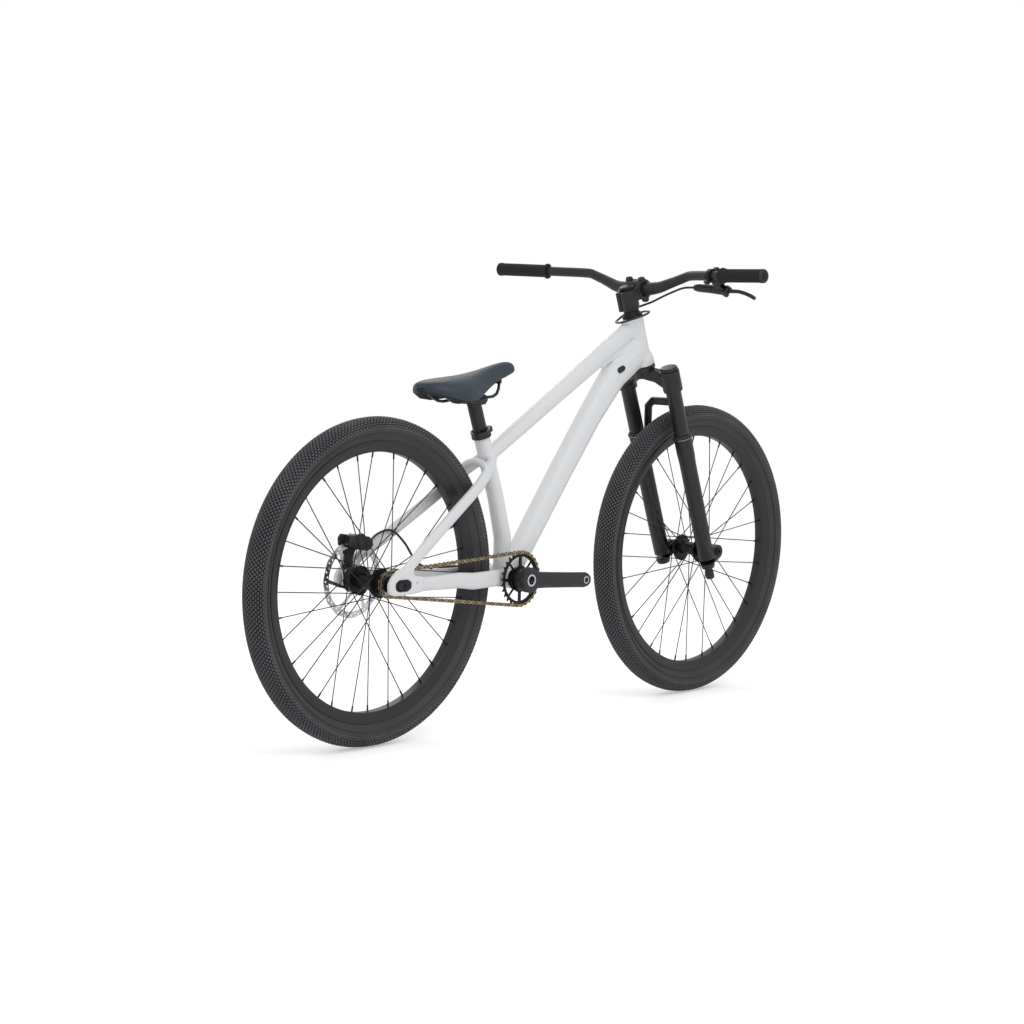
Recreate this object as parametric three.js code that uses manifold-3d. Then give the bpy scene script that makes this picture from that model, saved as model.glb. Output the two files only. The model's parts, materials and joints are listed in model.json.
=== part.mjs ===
// A dirt jump bike: white aluminium hardtail frame, short suspension fork, one gear, rear disc brake.
// Millimetres. +X is forward, +Y is the rider's left, +Z is up; the origin is on the ground, midway between the axles.
import * as THREE from 'three';
import { mergeVertices } from 'three/addons/utils/BufferGeometryUtils.js';
import Module from 'manifold-3d';

const wasm = await Module();
wasm.setup();

// Driving dimensions
const wheelbase = 1045;
const tyreRadius = 334;
const bracketDrop = 17.3;
const headAngleDegrees = 69.5;
const seatAngleDegrees = 69.5;
const forkOffset = 40;
const axleToCrown = 463.5;
const headTubeLength = 115;
const seatTubeTopBack = 82;
const seatTubeTopRise = 314;
const chainPitch = 12.7;
const chainLinks = 82;
const chainringTeeth = 28;
const sprocketTeeth = 12;
const chainLine = 50;
const crankLength = 170;
const crankDroopDegrees = 3.7;
const rearDropoutHalf = 72;

// Clearances and working values
const gap = 0.3;
const overrun = 3;
const weldDistance = 0.0005;
const fullTurn = Math.PI * 2;
const roundSides = 12;
const degree = Math.PI / 180;

// Places that everything else follows
const headAngle = headAngleDegrees * degree;
const seatAngle = seatAngleDegrees * degree;
const rearAxle = new THREE.Vector3(-wheelbase / 2, 0, tyreRadius);
const frontAxle = new THREE.Vector3(wheelbase / 2, 0, tyreRadius);
const steeringUp = new THREE.Vector3(-Math.cos(headAngle), 0, Math.sin(headAngle));
const steeringForward = new THREE.Vector3(Math.sin(headAngle), 0, Math.cos(headAngle));
const steeringFoot = frontAxle.clone().addScaledVector(steeringForward, -forkOffset);
const seatUp = new THREE.Vector3(-Math.cos(seatAngle), 0, Math.sin(seatAngle));

// The radius on which a chain's pins lie when it is wrapped on a wheel of so many teeth.
function pitchRadius(teeth) {
  return chainPitch / (2 * Math.sin(Math.PI / teeth));
}

// How many pins lie on each wheel, and the straight run between the last pin on one and the first on the other.
const ringPins = chainringTeeth / 2 + 2;
const sprocketPins = sprocketTeeth / 2;
const runPitches = (chainLinks - ringPins - sprocketPins) / 2 + 1;
const ringRadius = pitchRadius(chainringTeeth);
const sprocketRadius = pitchRadius(sprocketTeeth);
const ringLastAngle = (ringPins - 1) * Math.PI / chainringTeeth;
const sprocketLastAngle = (sprocketPins - 1) * Math.PI / sprocketTeeth;
const runFall = ringRadius * Math.sin(ringLastAngle) - sprocketRadius * Math.sin(sprocketLastAngle);
const runAlong = Math.sqrt((runPitches * chainPitch) ** 2 - runFall ** 2);
const chainstayLength = runAlong - ringRadius * Math.cos(ringLastAngle) - sprocketRadius * Math.cos(sprocketLastAngle);
const bracketForward = Math.sqrt(chainstayLength ** 2 - bracketDrop ** 2);
const bracket = new THREE.Vector3(rearAxle.x + bracketForward, 0, tyreRadius - bracketDrop);
const chainTilt = Math.atan2(bracketDrop, bracketForward);
const seatTop = new THREE.Vector3(bracket.x - seatTubeTopBack, 0, bracket.z + seatTubeTopRise);

const part = new THREE.Group();
const steering = new THREE.Group();
steering.position.copy(steeringFoot);
steering.rotation.y = headAngle - Math.PI / 2;
part.add(steering);

function material(color, roughness, metalness) {
  return new THREE.MeshStandardMaterial({ color, roughness, metalness });
}

const whitePaint = material('#e9e9ea', 0.35, 0.1);
const blackPaint = material('#1b1b1d', 0.45, 0.2);
const blackMetal = material('#202124', 0.38, 0.6);
const anodised = material('#101012', 0.3, 0.7);
const rubber = material('#19191a', 0.85, 0);
const plastic = material('#161617', 0.6, 0);
const silver = material('#c3c4c6', 0.28, 0.95);
const steel = material('#8e9094', 0.35, 0.9);
const bronze = material('#7d6644', 0.35, 0.8);
const slate = material('#2b3944', 0.7, 0);

function place(parent, name, geometry, finish) {
  const mesh = new THREE.Mesh(geometry, finish);
  mesh.name = name;
  parent.add(mesh);
  return mesh;
}

// Welds a geometry's shared vertices and drops the triangles that close up to nothing.
function welded(geometry) {
  const bare = geometry.clone();
  bare.deleteAttribute('normal');
  bare.deleteAttribute('uv');
  const merged = mergeVertices(bare, weldDistance);
  const kept = [];
  const index = merged.index.array;
  for (let i = 0; i < index.length; i += 3) {
    const [a, b, c] = [index[i], index[i + 1], index[i + 2]];
    if (a !== b && b !== c && c !== a) {
      kept.push(a, b, c);
    }
  }
  merged.setIndex(kept);
  return merged;
}

function solid(geometry) {
  const clean = welded(geometry);
  return new wasm.Manifold(new wasm.Mesh({
    numProp: 3,
    vertProperties: Float32Array.from(clean.attributes.position.array),
    triVerts: Uint32Array.from(clean.index.array),
  }));
}

function geometryOf(body) {
  const mesh = body.getMesh();
  const geometry = new THREE.BufferGeometry();
  geometry.setAttribute('position', new THREE.BufferAttribute(mesh.vertProperties, 3));
  geometry.setIndex(new THREE.BufferAttribute(mesh.triVerts, 1));
  geometry.computeVertexNormals();
  return geometry;
}

// Joins the first list of geometries and cuts the second list out of the result.
function carve(additions, cuts = []) {
  let body = solid(additions[0]);
  for (const addition of additions.slice(1)) {
    body = body.add(solid(addition));
  }
  for (const cut of cuts) {
    body = body.subtract(solid(cut));
  }
  return geometryOf(body);
}

function signedArea(points) {
  let area = 0;
  for (let i = 0; i < points.length; i += 1) {
    const [x0, y0] = points[i];
    const [x1, y1] = points[(i + 1) % points.length];
    area += x0 * y1 - x1 * y0;
  }
  return area / 2;
}

// Revolves a closed profile of [radius, height] points about Y.
function turned(profile, segments) {
  const points = signedArea(profile) > 0 ? profile.slice() : profile.slice().reverse();
  points.push(points[0]);
  const vectors = points.map(([radius, height]) => new THREE.Vector2(radius, height));
  return welded(new THREE.LatheGeometry(vectors, segments));
}

// The same about Z.
function turnedUp(profile, segments) {
  return turned(profile, segments).rotateX(Math.PI / 2);
}

// The corner radius of a faceted hole whose flats clear a shaft of this radius.
function bore(radius) {
  return (radius + gap) / Math.cos(Math.PI / roundSides);
}

function ring(inner, outer, low, high) {
  return [[inner, low], [outer, low], [outer, high], [inner, high]];
}

function shapeOf(points, holes) {
  const shape = new THREE.Shape(points.map(([x, y]) => new THREE.Vector2(x, y)));
  shape.holes = holes.map((hole) => new THREE.Path(hole.map(([x, y]) => new THREE.Vector2(x, y))));
  return shape;
}

// A flat piece whose outline is given as [x, z] points, lying between two values of y.
function plate(points, low, high, holes = []) {
  const depth = high - low;
  const geometry = new THREE.ExtrudeGeometry(shapeOf(points, holes), { depth, bevelEnabled: false });
  return welded(geometry).rotateX(Math.PI / 2).translate(0, high, 0);
}

// A flat piece whose outline is given as [x, y] points, lying between two values of z.
function slab(points, low, high, holes = []) {
  const depth = high - low;
  const geometry = new THREE.ExtrudeGeometry(shapeOf(points, holes), { depth, bevelEnabled: false });
  return welded(geometry).translate(0, 0, low);
}

function circle(radius, count, x = 0, y = 0, start = 0) {
  const points = [];
  for (let i = 0; i < count; i += 1) {
    const angle = start + fullTurn * i / count;
    points.push([x + radius * Math.cos(angle), y + radius * Math.sin(angle)]);
  }
  return points;
}

function arc(radius, from, to, count, x = 0, y = 0) {
  const points = [];
  for (let i = 0; i <= count; i += 1) {
    const angle = from + (to - from) * i / count;
    points.push([x + radius * Math.cos(angle), y + radius * Math.sin(angle)]);
  }
  return points;
}

// A slot with round ends, as [x, y] points, turned by an angle.
function slot(halfLength, radius, count, x, y, angle) {
  const reach = halfLength - radius;
  const ends = [
    ...arc(radius, -Math.PI / 2, Math.PI / 2, count, reach, 0),
    ...arc(radius, Math.PI / 2, Math.PI * 3 / 2, count, -reach, 0),
  ];
  const cos = Math.cos(angle);
  const sin = Math.sin(angle);
  return ends.map(([a, b]) => [x + a * cos - b * sin, y + a * sin + b * cos]);
}

// Skins a row of sections. Each station has its centre, half its width and half its height.
// The width lies along the given direction, squared to the path. A power above 2 squares the section off.
function loft(stations, sides, across = new THREE.Vector3(0, 1, 0), power = 2) {
  const rings = stations.map((station, i) => {
    const before = stations[Math.max(i - 1, 0)].at;
    const after = stations[Math.min(i + 1, stations.length - 1)].at;
    const along = after.clone().sub(before).normalize();
    const wideway = across.clone().addScaledVector(along, -across.dot(along)).normalize();
    const highway = along.clone().cross(wideway);
    const points = [];
    for (let k = 0; k < sides; k += 1) {
      const angle = fullTurn * (k + 1 / 2) / sides;
      const c = Math.cos(angle);
      const s = Math.sin(angle);
      const a = Math.sign(c) * Math.abs(c) ** (2 / power) * station.wide;
      const b = Math.sign(s) * Math.abs(s) ** (2 / power) * station.high;
      points.push(station.at.clone().addScaledVector(wideway, a).addScaledVector(highway, b));
    }
    return points;
  });
  return skin(rings);
}

// Skins a row of rings of the same number of points, and closes the two ends.
function skin(rings) {
  const sides = rings[0].length;
  const index = [];
  for (let i = 0; i + 1 < rings.length; i += 1) {
    for (let k = 0; k < sides; k += 1) {
      const a = i * sides + k;
      const b = i * sides + (k + 1) % sides;
      index.push(a, b, b + sides, a, b + sides, a + sides);
    }
  }
  const last = (rings.length - 1) * sides;
  for (let k = 1; k + 1 < sides; k += 1) {
    index.push(0, k + 1, k);
    index.push(last, last + k, last + k + 1);
  }
  return indexed(rings.flat(), index);
}

function indexed(points, index) {
  const geometry = new THREE.BufferGeometry();
  const position = points.flatMap((each) => [each.x, each.y, each.z]);
  geometry.setAttribute('position', new THREE.Float32BufferAttribute(position, 3));
  geometry.setIndex(index);
  return geometry;
}

// A sheet with thickness: two grids of points of the same size, the outer one seen from outside.
function sheet(outer, inner) {
  const rows = outer.length;
  const columns = outer[0].length;
  const count = rows * columns;
  const index = [];
  const quad = (a, b, c, d) => index.push(a, b, c, a, c, d);
  for (let i = 0; i + 1 < rows; i += 1) {
    for (let k = 0; k + 1 < columns; k += 1) {
      const a = i * columns + k;
      quad(a, a + 1, a + 1 + columns, a + columns);
      quad(count + a, count + a + columns, count + a + 1 + columns, count + a + 1);
    }
    const first = i * columns;
    const last = first + columns - 1;
    quad(first, first + columns, count + first + columns, count + first);
    quad(last, count + last, count + last + columns, last + columns);
  }
  for (let k = 0; k + 1 < columns; k += 1) {
    const end = (rows - 1) * columns + k;
    quad(k, count + k, count + k + 1, k + 1);
    quad(end, end + 1, count + end + 1, count + end);
  }
  return indexed([...outer.flat(), ...inner.flat()], index);
}

function station(at, wide, high = wide) {
  return { at, wide, high };
}

function point(x, y, z) {
  return new THREE.Vector3(x, y, z);
}

function rod(from, to, radius, sides) {
  const direction = to.clone().sub(from).normalize();
  const across = Math.abs(direction.y) > Math.SQRT1_2 ? point(1, 0, 0) : point(0, 1, 0);
  return loft([station(from, radius), station(to, radius)], sides, across);
}

// A hose of round section along a smooth route through hand-chosen points.
function hose(points, radius, sides, steps) {
  const shape = shapeOf(circle(radius, sides), []);
  const extrudePath = new THREE.CatmullRomCurve3(points, false, 'centripetal');
  return welded(new THREE.ExtrudeGeometry(shape, { steps, extrudePath, bevelEnabled: false }));
}

function moved(geometry, at) {
  return geometry.translate(at.x, at.y, at.z);
}

// A point given as forward of the steering axis, to the left, and up along it from the axle's level.
function onSteering(forward, left, up) {
  const at = steeringFoot.clone().addScaledVector(steeringForward, forward);
  return at.addScaledVector(steeringUp, up).add(point(0, left, 0));
}

// A point on the seat tube's straight line, so far below its top.
function belowSeatTop(distance) {
  return seatTop.clone().addScaledVector(seatUp, -distance);
}

// Wheels
const wheelSegments = 32;
const tyreHalfWidth = 27;
const tyreWall = 2.6;
const tyreCrownShares = [[0.92, 0.91], [0.955, 1], [0.984, 0.8], [1, 0]];
const beadRadius = 279.5;
const beadInset = 1.4;
const rimHalfWidth = 15.5;
const rimWall = 2;
const rimHookRadius = 286;
const rimBedRadius = 263.3;
const rimBedHalf = 11.5;
const spokeCount = 32;
const spokeCrossings = 3;
const spokeRadius = 1;
const nippleRadius = 2.1;
const nippleLength = 14;
const nippleOffset = 3.5;
const flangeRadius = 31;
const flangeHoleRadius = 27.5;
const flangeThick = 3.4;
const hubSegments = 12;

// The outer skin runs from bead to bead over the tread, and the inner skin returns inside it.
function tyre() {
  const outer = [];
  for (const [radiusShare, widthShare] of tyreCrownShares) {
    outer.push([tyreRadius * radiusShare, tyreHalfWidth * widthShare]);
  }
  const seatHalf = rimHalfWidth - rimWall - gap;
  const side = [[beadRadius, seatHalf - beadInset], [rimHookRadius + gap, seatHalf], ...outer];
  const other = side.slice(0, -1).reverse().map(([radius, half]) => [radius, -half]);
  const inner = [
    [beadRadius, -seatHalf + beadInset + tyreWall],
    [tyreRadius * tyreCrownShares[1][0], -tyreHalfWidth + tyreWall * 2],
    [tyreRadius * tyreCrownShares[1][0], tyreHalfWidth - tyreWall * 2],
    [beadRadius, seatHalf - beadInset - tyreWall],
  ];
  return turned([...side, ...other, ...inner], wheelSegments);
}

function rim() {
  const half = [[rimBedRadius, rimBedHalf], [rimHookRadius, rimHalfWidth], [rimHookRadius, rimHalfWidth - rimWall],
    [rimBedRadius + rimWall * 2, rimBedHalf - rimWall / 2]];
  const other = half.slice().reverse().map(([radius, side]) => [radius, -side]);
  return turned([...half, ...other], wheelSegments);
}

// Each spoke runs on a tangent from its flange, and swells into its nipple, which seats in the rim.
function spokes(leftFlange, rightFlange) {
  const perSide = spokeCount / 2;
  const pieces = [];
  const standOff = flangeThick / 2 + gap * 4 + spokeRadius;
  for (let i = 0; i < spokeCount; i += 1) {
    const left = i % 2 === 0;
    const number = Math.floor(i / 2);
    const leading = number % 2 === 0 ? 1 : -1;
    const flange = left ? leftFlange : rightFlange;
    const outward = left ? 1 : -1;
    const hubAngle = fullTurn * (number + (left ? 0 : 1 / 2)) / perSide;
    const rimAngle = hubAngle + leading * fullTurn * spokeCrossings / perSide;
    const hubY = flange + outward * standOff * leading;
    const from = point(flangeHoleRadius * Math.cos(hubAngle), hubY, flangeHoleRadius * Math.sin(hubAngle));
    const rimReach = rimBedRadius + rimWall;
    const to = point(rimReach * Math.cos(rimAngle), outward * nippleOffset, rimReach * Math.sin(rimAngle));
    const along = to.clone().sub(from).normalize();
    const neck = to.clone().addScaledVector(along, -nippleLength);
    pieces.push(loft([station(from, spokeRadius), station(neck, spokeRadius), station(to, nippleRadius)], 3));
  }
  return pieces;
}

// The bearing seats are open at the two ends, and the bore between them clears the axle.
function hubShell(barrelRadius, bore, seatRadius, seatDepth, left, right, leftEnd, rightEnd, leftEndRadius) {
  const half = flangeThick / 2;
  const waist = barrelRadius * hubWaistShare;
  return turned([
    [seatRadius, rightEnd], [barrelRadius, rightEnd], [barrelRadius, right - half], [flangeRadius, right - half],
    [flangeRadius, right + half], [waist, right + half], [waist, left - half], [flangeRadius, left - half],
    [flangeRadius, left + half], [leftEndRadius, left + half], [leftEndRadius, leftEnd], [seatRadius, leftEnd],
    [seatRadius, leftEnd - seatDepth], [bore, leftEnd - seatDepth], [bore, rightEnd + seatDepth],
    [seatRadius, rightEnd + seatDepth],
  ], hubSegments);
}

function bearingRing(inner, outer, low, high) {
  return turned(ring(inner, outer, low, high), hubSegments);
}

const axleHeadLength = 2;
const axleHeadRadius = 9.5;
const axleSocketRadius = 4;
const rotorRadius = 80;
const rotorThick = 1.8;
const rotorY = 56;
const rotorBand = 13;
const rotorWaveShare = 0.035;
const rotorWaves = 12;
const rotorArms = 6;
const rotorArmHalf = 3;
const rotorHubRadius = 28;
const rotorSlots = 12;
const rotorBoltCircle = 20;
const rotorBoltHead = 4.2;
const rotorBoltHeadHigh = 2.4;
const rotorBore = 16;

const hubWaistShare = 0.86;
const rearAxleRadius = 6;
const rearHubBarrel = 19;
const rearHubSeat = 14;
const rearHubBearingWidth = 8;
const rearHubLeftFlange = 34;
const rearHubRightFlange = -25;
const rearHubLeftEnd = rotorY - rotorThick / 2 - gap;
const rearHubRightEnd = -33;
const rotorSeatRadius = 24;
const frontAxleRadius = 7.5;
const frontHubBarrel = 17;
const frontHubSeat = 14.5;
const frontHubBearingWidth = 8;
const frontHubFlange = 28;
const frontHubEnd = 36;
const frontCapRadius = 12;
const sleeveWall = 1.8;
const lugOuterShare = 0.7;

function frontWheel() {
  const wheel = new THREE.Group();
  wheel.position.set(forkOffset, 0, 0);
  wheel.rotation.y = -steering.rotation.y;
  steering.add(wheel);
  place(wheel, 'front_tyre', tyre(), rubber);
  place(wheel, 'front_rim', carve([rim(), ...spokes(frontHubFlange, -frontHubFlange)]), blackPaint);
  const sleeveOuter = frontAxleRadius + sleeveWall;
  place(wheel, 'front_hub_shell', hubShell(frontHubBarrel, bore(sleeveOuter), frontHubSeat, frontHubBearingWidth,
    frontHubFlange, -frontHubFlange, frontHubEnd, -frontHubEnd, frontHubBarrel), blackMetal);
  const outer = frontHubSeat - gap;
  const width = frontHubBearingWidth - gap * 2;
  place(wheel, 'front_left_bearing', bearingRing(bore(sleeveOuter), outer, frontHubEnd - width, frontHubEnd), steel);
  place(wheel, 'front_right_bearing', bearingRing(bore(sleeveOuter), outer, -frontHubEnd, -frontHubEnd + width), steel);
  const end = lugInner - gap;
  const shoulder = frontHubEnd + gap;
  place(wheel, 'front_hub_spindle', turned([[frontAxleRadius + gap, -end], [frontCapRadius, -end],
    [frontCapRadius, -shoulder], [sleeveOuter, -shoulder], [sleeveOuter, shoulder], [frontCapRadius, shoulder],
    [frontCapRadius, end], [frontAxleRadius + gap, end]], hubSegments), anodised);
  const lugOuter = forkLegSpread + lowerLegRadius * lugOuterShare;
  place(wheel, 'front_axle', carve([
    turned([[0, -lugOuter - axleHeadLength], [axleHeadRadius, -lugOuter - axleHeadLength],
      [axleHeadRadius, -lugOuter - gap], [frontAxleRadius, -lugOuter - gap], [frontAxleRadius, lugOuter],
      [0, lugOuter]], hubSegments)],
  [plate(circle(axleSocketRadius, 6), -lugOuter - axleHeadLength - overrun, -lugOuter + axleHeadLength)]), silver);
}

// A rotor with a waved rim, slots in its braking band, slanted arms and a bolted centre.
function rotor() {
  const outline = [];
  const around = rotorWaves * 2;
  for (let i = 0; i < around; i += 1) {
    const angle = fullTurn * i / around;
    const radius = rotorRadius * (1 - rotorWaveShare * (1 - Math.cos(angle * rotorWaves)) / 2);
    outline.push([radius * Math.cos(angle), radius * Math.sin(angle)]);
  }
  const holes = [circle(rotorBore, 12)];
  const innerBand = rotorRadius - rotorBand - rotorRadius * rotorWaveShare;
  for (let i = 0; i < rotorArms; i += 1) {
    const start = fullTurn * i / rotorArms;
    const end = start + fullTurn / rotorArms;
    const lean = fullTurn / rotorArms / 2;
    const outerTrim = rotorArmHalf / innerBand;
    const innerTrim = rotorArmHalf / rotorHubRadius;
    holes.push([...arc(innerBand, start + lean + outerTrim, end + lean - outerTrim, 3),
      ...arc(rotorHubRadius, end - innerTrim, start + innerTrim, 1)]);
  }
  const middle = rotorRadius - rotorRadius * rotorWaveShare - rotorBand / 2;
  for (let i = 0; i < rotorSlots; i += 1) {
    const angle = fullTurn * (i + 1 / 2) / rotorSlots;
    const reach = middle + (i % 2 === 0 ? rotorBand : -rotorBand) / 8;
    holes.push(slot(rotorBand / 3, rotorBand / 9, 1, reach * Math.cos(angle), reach * Math.sin(angle),
      angle + Math.PI / 3));
  }
  const disc = plate(outline, rotorY - rotorThick / 2, rotorY + rotorThick / 2, holes);
  const bolts = [];
  for (let i = 0; i < rotorArms; i += 1) {
    const angle = fullTurn * i / rotorArms;
    const top = rotorY + rotorThick / 2;
    const low = top - rotorThick / 2;
    const bolt = turned([[0, low], [rotorBoltHead, low], [rotorBoltHead, top + rotorBoltHeadHigh],
      [0, top + rotorBoltHeadHigh]], 6);
    bolts.push(bolt.translate(rotorBoltCircle * Math.cos(angle), 0, rotorBoltCircle * Math.sin(angle)));
  }
  return carve([disc, ...bolts]);
}

const wheelParts = new THREE.Group();
wheelParts.position.copy(rearAxle);
part.add(wheelParts);

const driverRadius = 16;
const driverInner = -34;
const driverOuter = -58;
const driverLipRadius = 19;
const endCapRadius = 10;
const dropoutThick = 10;
const axleEndReach = 2;
const mountThick = 5.5;

function rearWheel() {
  place(wheelParts, 'rear_tyre', tyre(), rubber);
  place(wheelParts, 'rear_rim', carve([rim(), ...spokes(rearHubLeftFlange, rearHubRightFlange)]), blackPaint);
  const sleeveOuter = rearAxleRadius + sleeveWall;
  const shell = hubShell(rearHubBarrel, bore(sleeveOuter), rearHubSeat, rearHubBearingWidth, rearHubLeftFlange,
    rearHubRightFlange, rearHubLeftEnd, rearHubRightEnd, rotorSeatRadius);
  place(wheelParts, 'rear_hub_shell', shell, blackMetal);
  place(wheelParts, 'brake_rotor', rotor(), silver);
  const outer = rearHubSeat - gap;
  const inner = bore(sleeveOuter);
  const width = rearHubBearingWidth - gap * 2;
  const left = rearHubLeftEnd;
  const right = rearHubRightEnd;
  place(wheelParts, 'rear_left_bearing', bearingRing(inner, outer, left - width, left), steel);
  place(wheelParts, 'rear_right_bearing', bearingRing(inner, outer, right, right + width), steel);
  const leftFace = rearDropoutHalf - mountThick - gap * 2;
  place(wheelParts, 'rear_hub_spindle', turned([[rearAxleRadius + gap, -rearDropoutHalf + gap],
    [endCapRadius, -rearDropoutHalf + gap], [endCapRadius, driverOuter - gap], [sleeveOuter, driverOuter - gap],
    [sleeveOuter, left + gap], [endCapRadius, left + gap], [endCapRadius, leftFace],
    [rearAxleRadius + gap, leftFace]], hubSegments), anodised);
  const end = rearDropoutHalf + dropoutThick + axleEndReach;
  place(wheelParts, 'rear_axle', carve([turned([[0, -end], [rearAxleRadius, -end], [rearAxleRadius, end], [0, end]],
    hubSegments)], [plate(circle(axleSocketRadius * hubWaistShare, 6), -end - overrun, -end + dropoutThick)]), anodised);
}

// Drive
const rollerHalf = 1.5;
const innerPlateFace = 1.85;
const linkThick = 1.1;
const linkHigh = 7.5;
const toothHalf = 1.5;
const toothTip = 3.2;
const seatRadius = 4.15;
const seatAngles = [25, 75];

// Teeth whose hollows are drawn round the chain's rollers. A tooth stands on the line at the start angle.
function toothOutline(teeth, start) {
  const pitch = pitchRadius(teeth);
  const reach = seatRadius / Math.cos(seatAngles[0] * degree);
  const points = [];
  for (let i = 0; i < teeth; i += 1) {
    const seat = start + fullTurn * (i + 1 / 2) / teeth;
    const tooth = start + fullTurn * (i + 1) / teeth;
    const onSeat = (a) => {
      const out = pitch - reach * Math.cos(a);
      const side = reach * Math.sin(a);
      return [out * Math.cos(seat) - side * Math.sin(seat), out * Math.sin(seat) + side * Math.cos(seat)];
    };
    for (const a of [-seatAngles[1], -seatAngles[0], seatAngles[0], seatAngles[1]]) {
      points.push(onSeat(a * degree));
    }
    points.push([(pitch + toothTip) * Math.cos(tooth), (pitch + toothTip) * Math.sin(tooth)]);
  }
  return points;
}

const ringBodyRadius = 47.5;
const ringHubRadius = 29;
const ringBore = 18;
const ringArms = 8;
const ringThickArmHalf = 3.6;
const ringThinArmHalf = 1.7;
const bossRadius = 27;
const bossInner = 60;
const bossOuter = 84;
const bossStepRadius = 24;
const spindleRadius = 14.5;
const spindleWall = 3;
const capRingRadius = 13.5;
const capRingInner = 9.5;
const capRingHigh = 5;
const splineRadius = ringBore - gap;
const armFaceInner = 72;
const armFaceTip = 79;
const armThick = 13;
const armRootHalf = 18;
const armTipHalf = 16.5;
const pedalHoleRadius = 7;

// The chainring has eight arms, thick and thin by turns, with large openings between them.
function chainring() {
  const openings = [];
  for (let i = 0; i < ringArms; i += 1) {
    const start = fullTurn * i / ringArms;
    const end = start + fullTurn / ringArms;
    const first = i % 2 === 0 ? ringThickArmHalf : ringThinArmHalf;
    const second = i % 2 === 0 ? ringThinArmHalf : ringThickArmHalf;
    openings.push([...arc(ringBodyRadius, start + first / ringBodyRadius, end - second / ringBodyRadius, 3),
      ...arc(ringHubRadius, end - second / ringHubRadius, start + first / ringHubRadius, 1)]);
  }
  openings.push(circle(ringBore, 16));
  return plate(toothOutline(chainringTeeth, -chainTilt), -chainLine - toothHalf, -chainLine + toothHalf, openings);
}

// A forged arm that swells round the spindle and narrows to the pedal eye.
function crankArm(side, withSpline) {
  const middle = (face) => side * (face + armThick / 2);
  const rootX = bossRadius / 2;
  const arm = loft([
    station(point(rootX, middle(armFaceInner - 2 * gap), 0), armThick / 2, armRootHalf),
    station(point(crankLength / 3, middle(armFaceInner), 0), armThick / 2, armRootHalf * 0.94),
    station(point(crankLength * 2 / 3, middle((armFaceInner + armFaceTip) / 2), 0), armThick / 2, armTipHalf),
    station(point(crankLength, middle(armFaceTip), 0), armThick / 2, armTipHalf),
    station(point(crankLength + armTipHalf * 0.5, middle(armFaceTip), 0), armThick / 2, armTipHalf * 0.87),
    station(point(crankLength + armTipHalf * 0.87, middle(armFaceTip), 0), armThick / 2, armTipHalf * 0.5),
  ], 10, point(0, 1, 0), 3.2);
  const flip = (profile) => profile.map(([radius, y]) => [radius, y * side]);
  const boss = turned(flip([[0, bossInner], [bossStepRadius, bossInner], [bossRadius, bossInner + armThick / 2],
    [bossRadius, bossOuter - gap * 4], [bossRadius - gap * 4, bossOuter], [0, bossOuter]]), roundSides);
  const additions = [arm, boss];
  if (withSpline) {
    additions.push(turned(flip([[0, chainLine - toothHalf - gap], [splineRadius, chainLine - toothHalf - gap],
      [splineRadius, bossInner + overrun], [0, bossInner + overrun]]), 16));
    additions.push(turned(flip([[0, chainLine + toothHalf + gap], [bossStepRadius, chainLine + toothHalf + gap],
      [bossStepRadius, bossInner + overrun], [0, bossInner + overrun]]), roundSides));
  }
  const spindleBore = turned(flip([[0, -bossInner], [bore(spindleRadius), -bossInner],
    [bore(spindleRadius), bossOuter - capRingHigh - gap], [0, bossOuter - capRingHigh - gap]]), 16);
  const capSeat = turned(flip([[0, bossOuter - capRingHigh - overrun], [bore(capRingRadius), bossOuter - capRingHigh - overrun],
    [bore(capRingRadius), bossOuter + overrun], [0, bossOuter + overrun]]), 16);
  const pedalEye = plate(circle(pedalHoleRadius, 12, crankLength), side * armFaceInner - armThick * 2,
    side * armFaceInner + armThick * 2);
  return carve(additions, [spindleBore, capSeat, pedalEye]);
}

const bracketRadius = 24;
const bracketHalf = 36.5;
const bracketBore = 20.6;
const cupFlange = 2.6;
const cupDepth = 12;

function crankset() {
  const cranks = new THREE.Group();
  cranks.position.copy(bracket);
  part.add(cranks);
  const right = place(cranks, 'right_crank_arm', crankArm(-1, true), blackPaint);
  right.rotation.y = crankDroopDegrees * degree;
  const left = place(cranks, 'left_crank_arm', crankArm(1, false), blackPaint);
  left.rotation.y = crankDroopDegrees * degree + Math.PI;
  place(cranks, 'chainring', chainring(), anodised);
  const spindleEnd = bossOuter - capRingHigh - gap * 2;
  place(cranks, 'crank_spindle', turned(ring(spindleRadius - spindleWall, spindleRadius, -spindleEnd, spindleEnd), roundSides),
    steel);
  const capTop = bossOuter + gap;
  const cap = ring(capRingInner, capRingRadius, bossOuter - capRingHigh, capTop);
  place(cranks, 'spindle_cap_ring', turned(cap.map(([radius, y]) => [radius, -y]), roundSides), silver);
  const cupBore = bore(spindleRadius);
  const cup = [[cupBore, bracketHalf - cupDepth], [bracketBore - gap, bracketHalf - cupDepth],
    [bracketBore - gap, bracketHalf + gap], [bracketRadius, bracketHalf + gap],
    [bracketRadius, bracketHalf + gap + cupFlange], [cupBore, bracketHalf + gap + cupFlange]];
  place(cranks, 'left_bracket_cup', turned(cup, roundSides), anodised);
  place(cranks, 'right_bracket_cup', turned(cup.map(([radius, y]) => [radius, -y]), roundSides), anodised);
}

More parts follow.
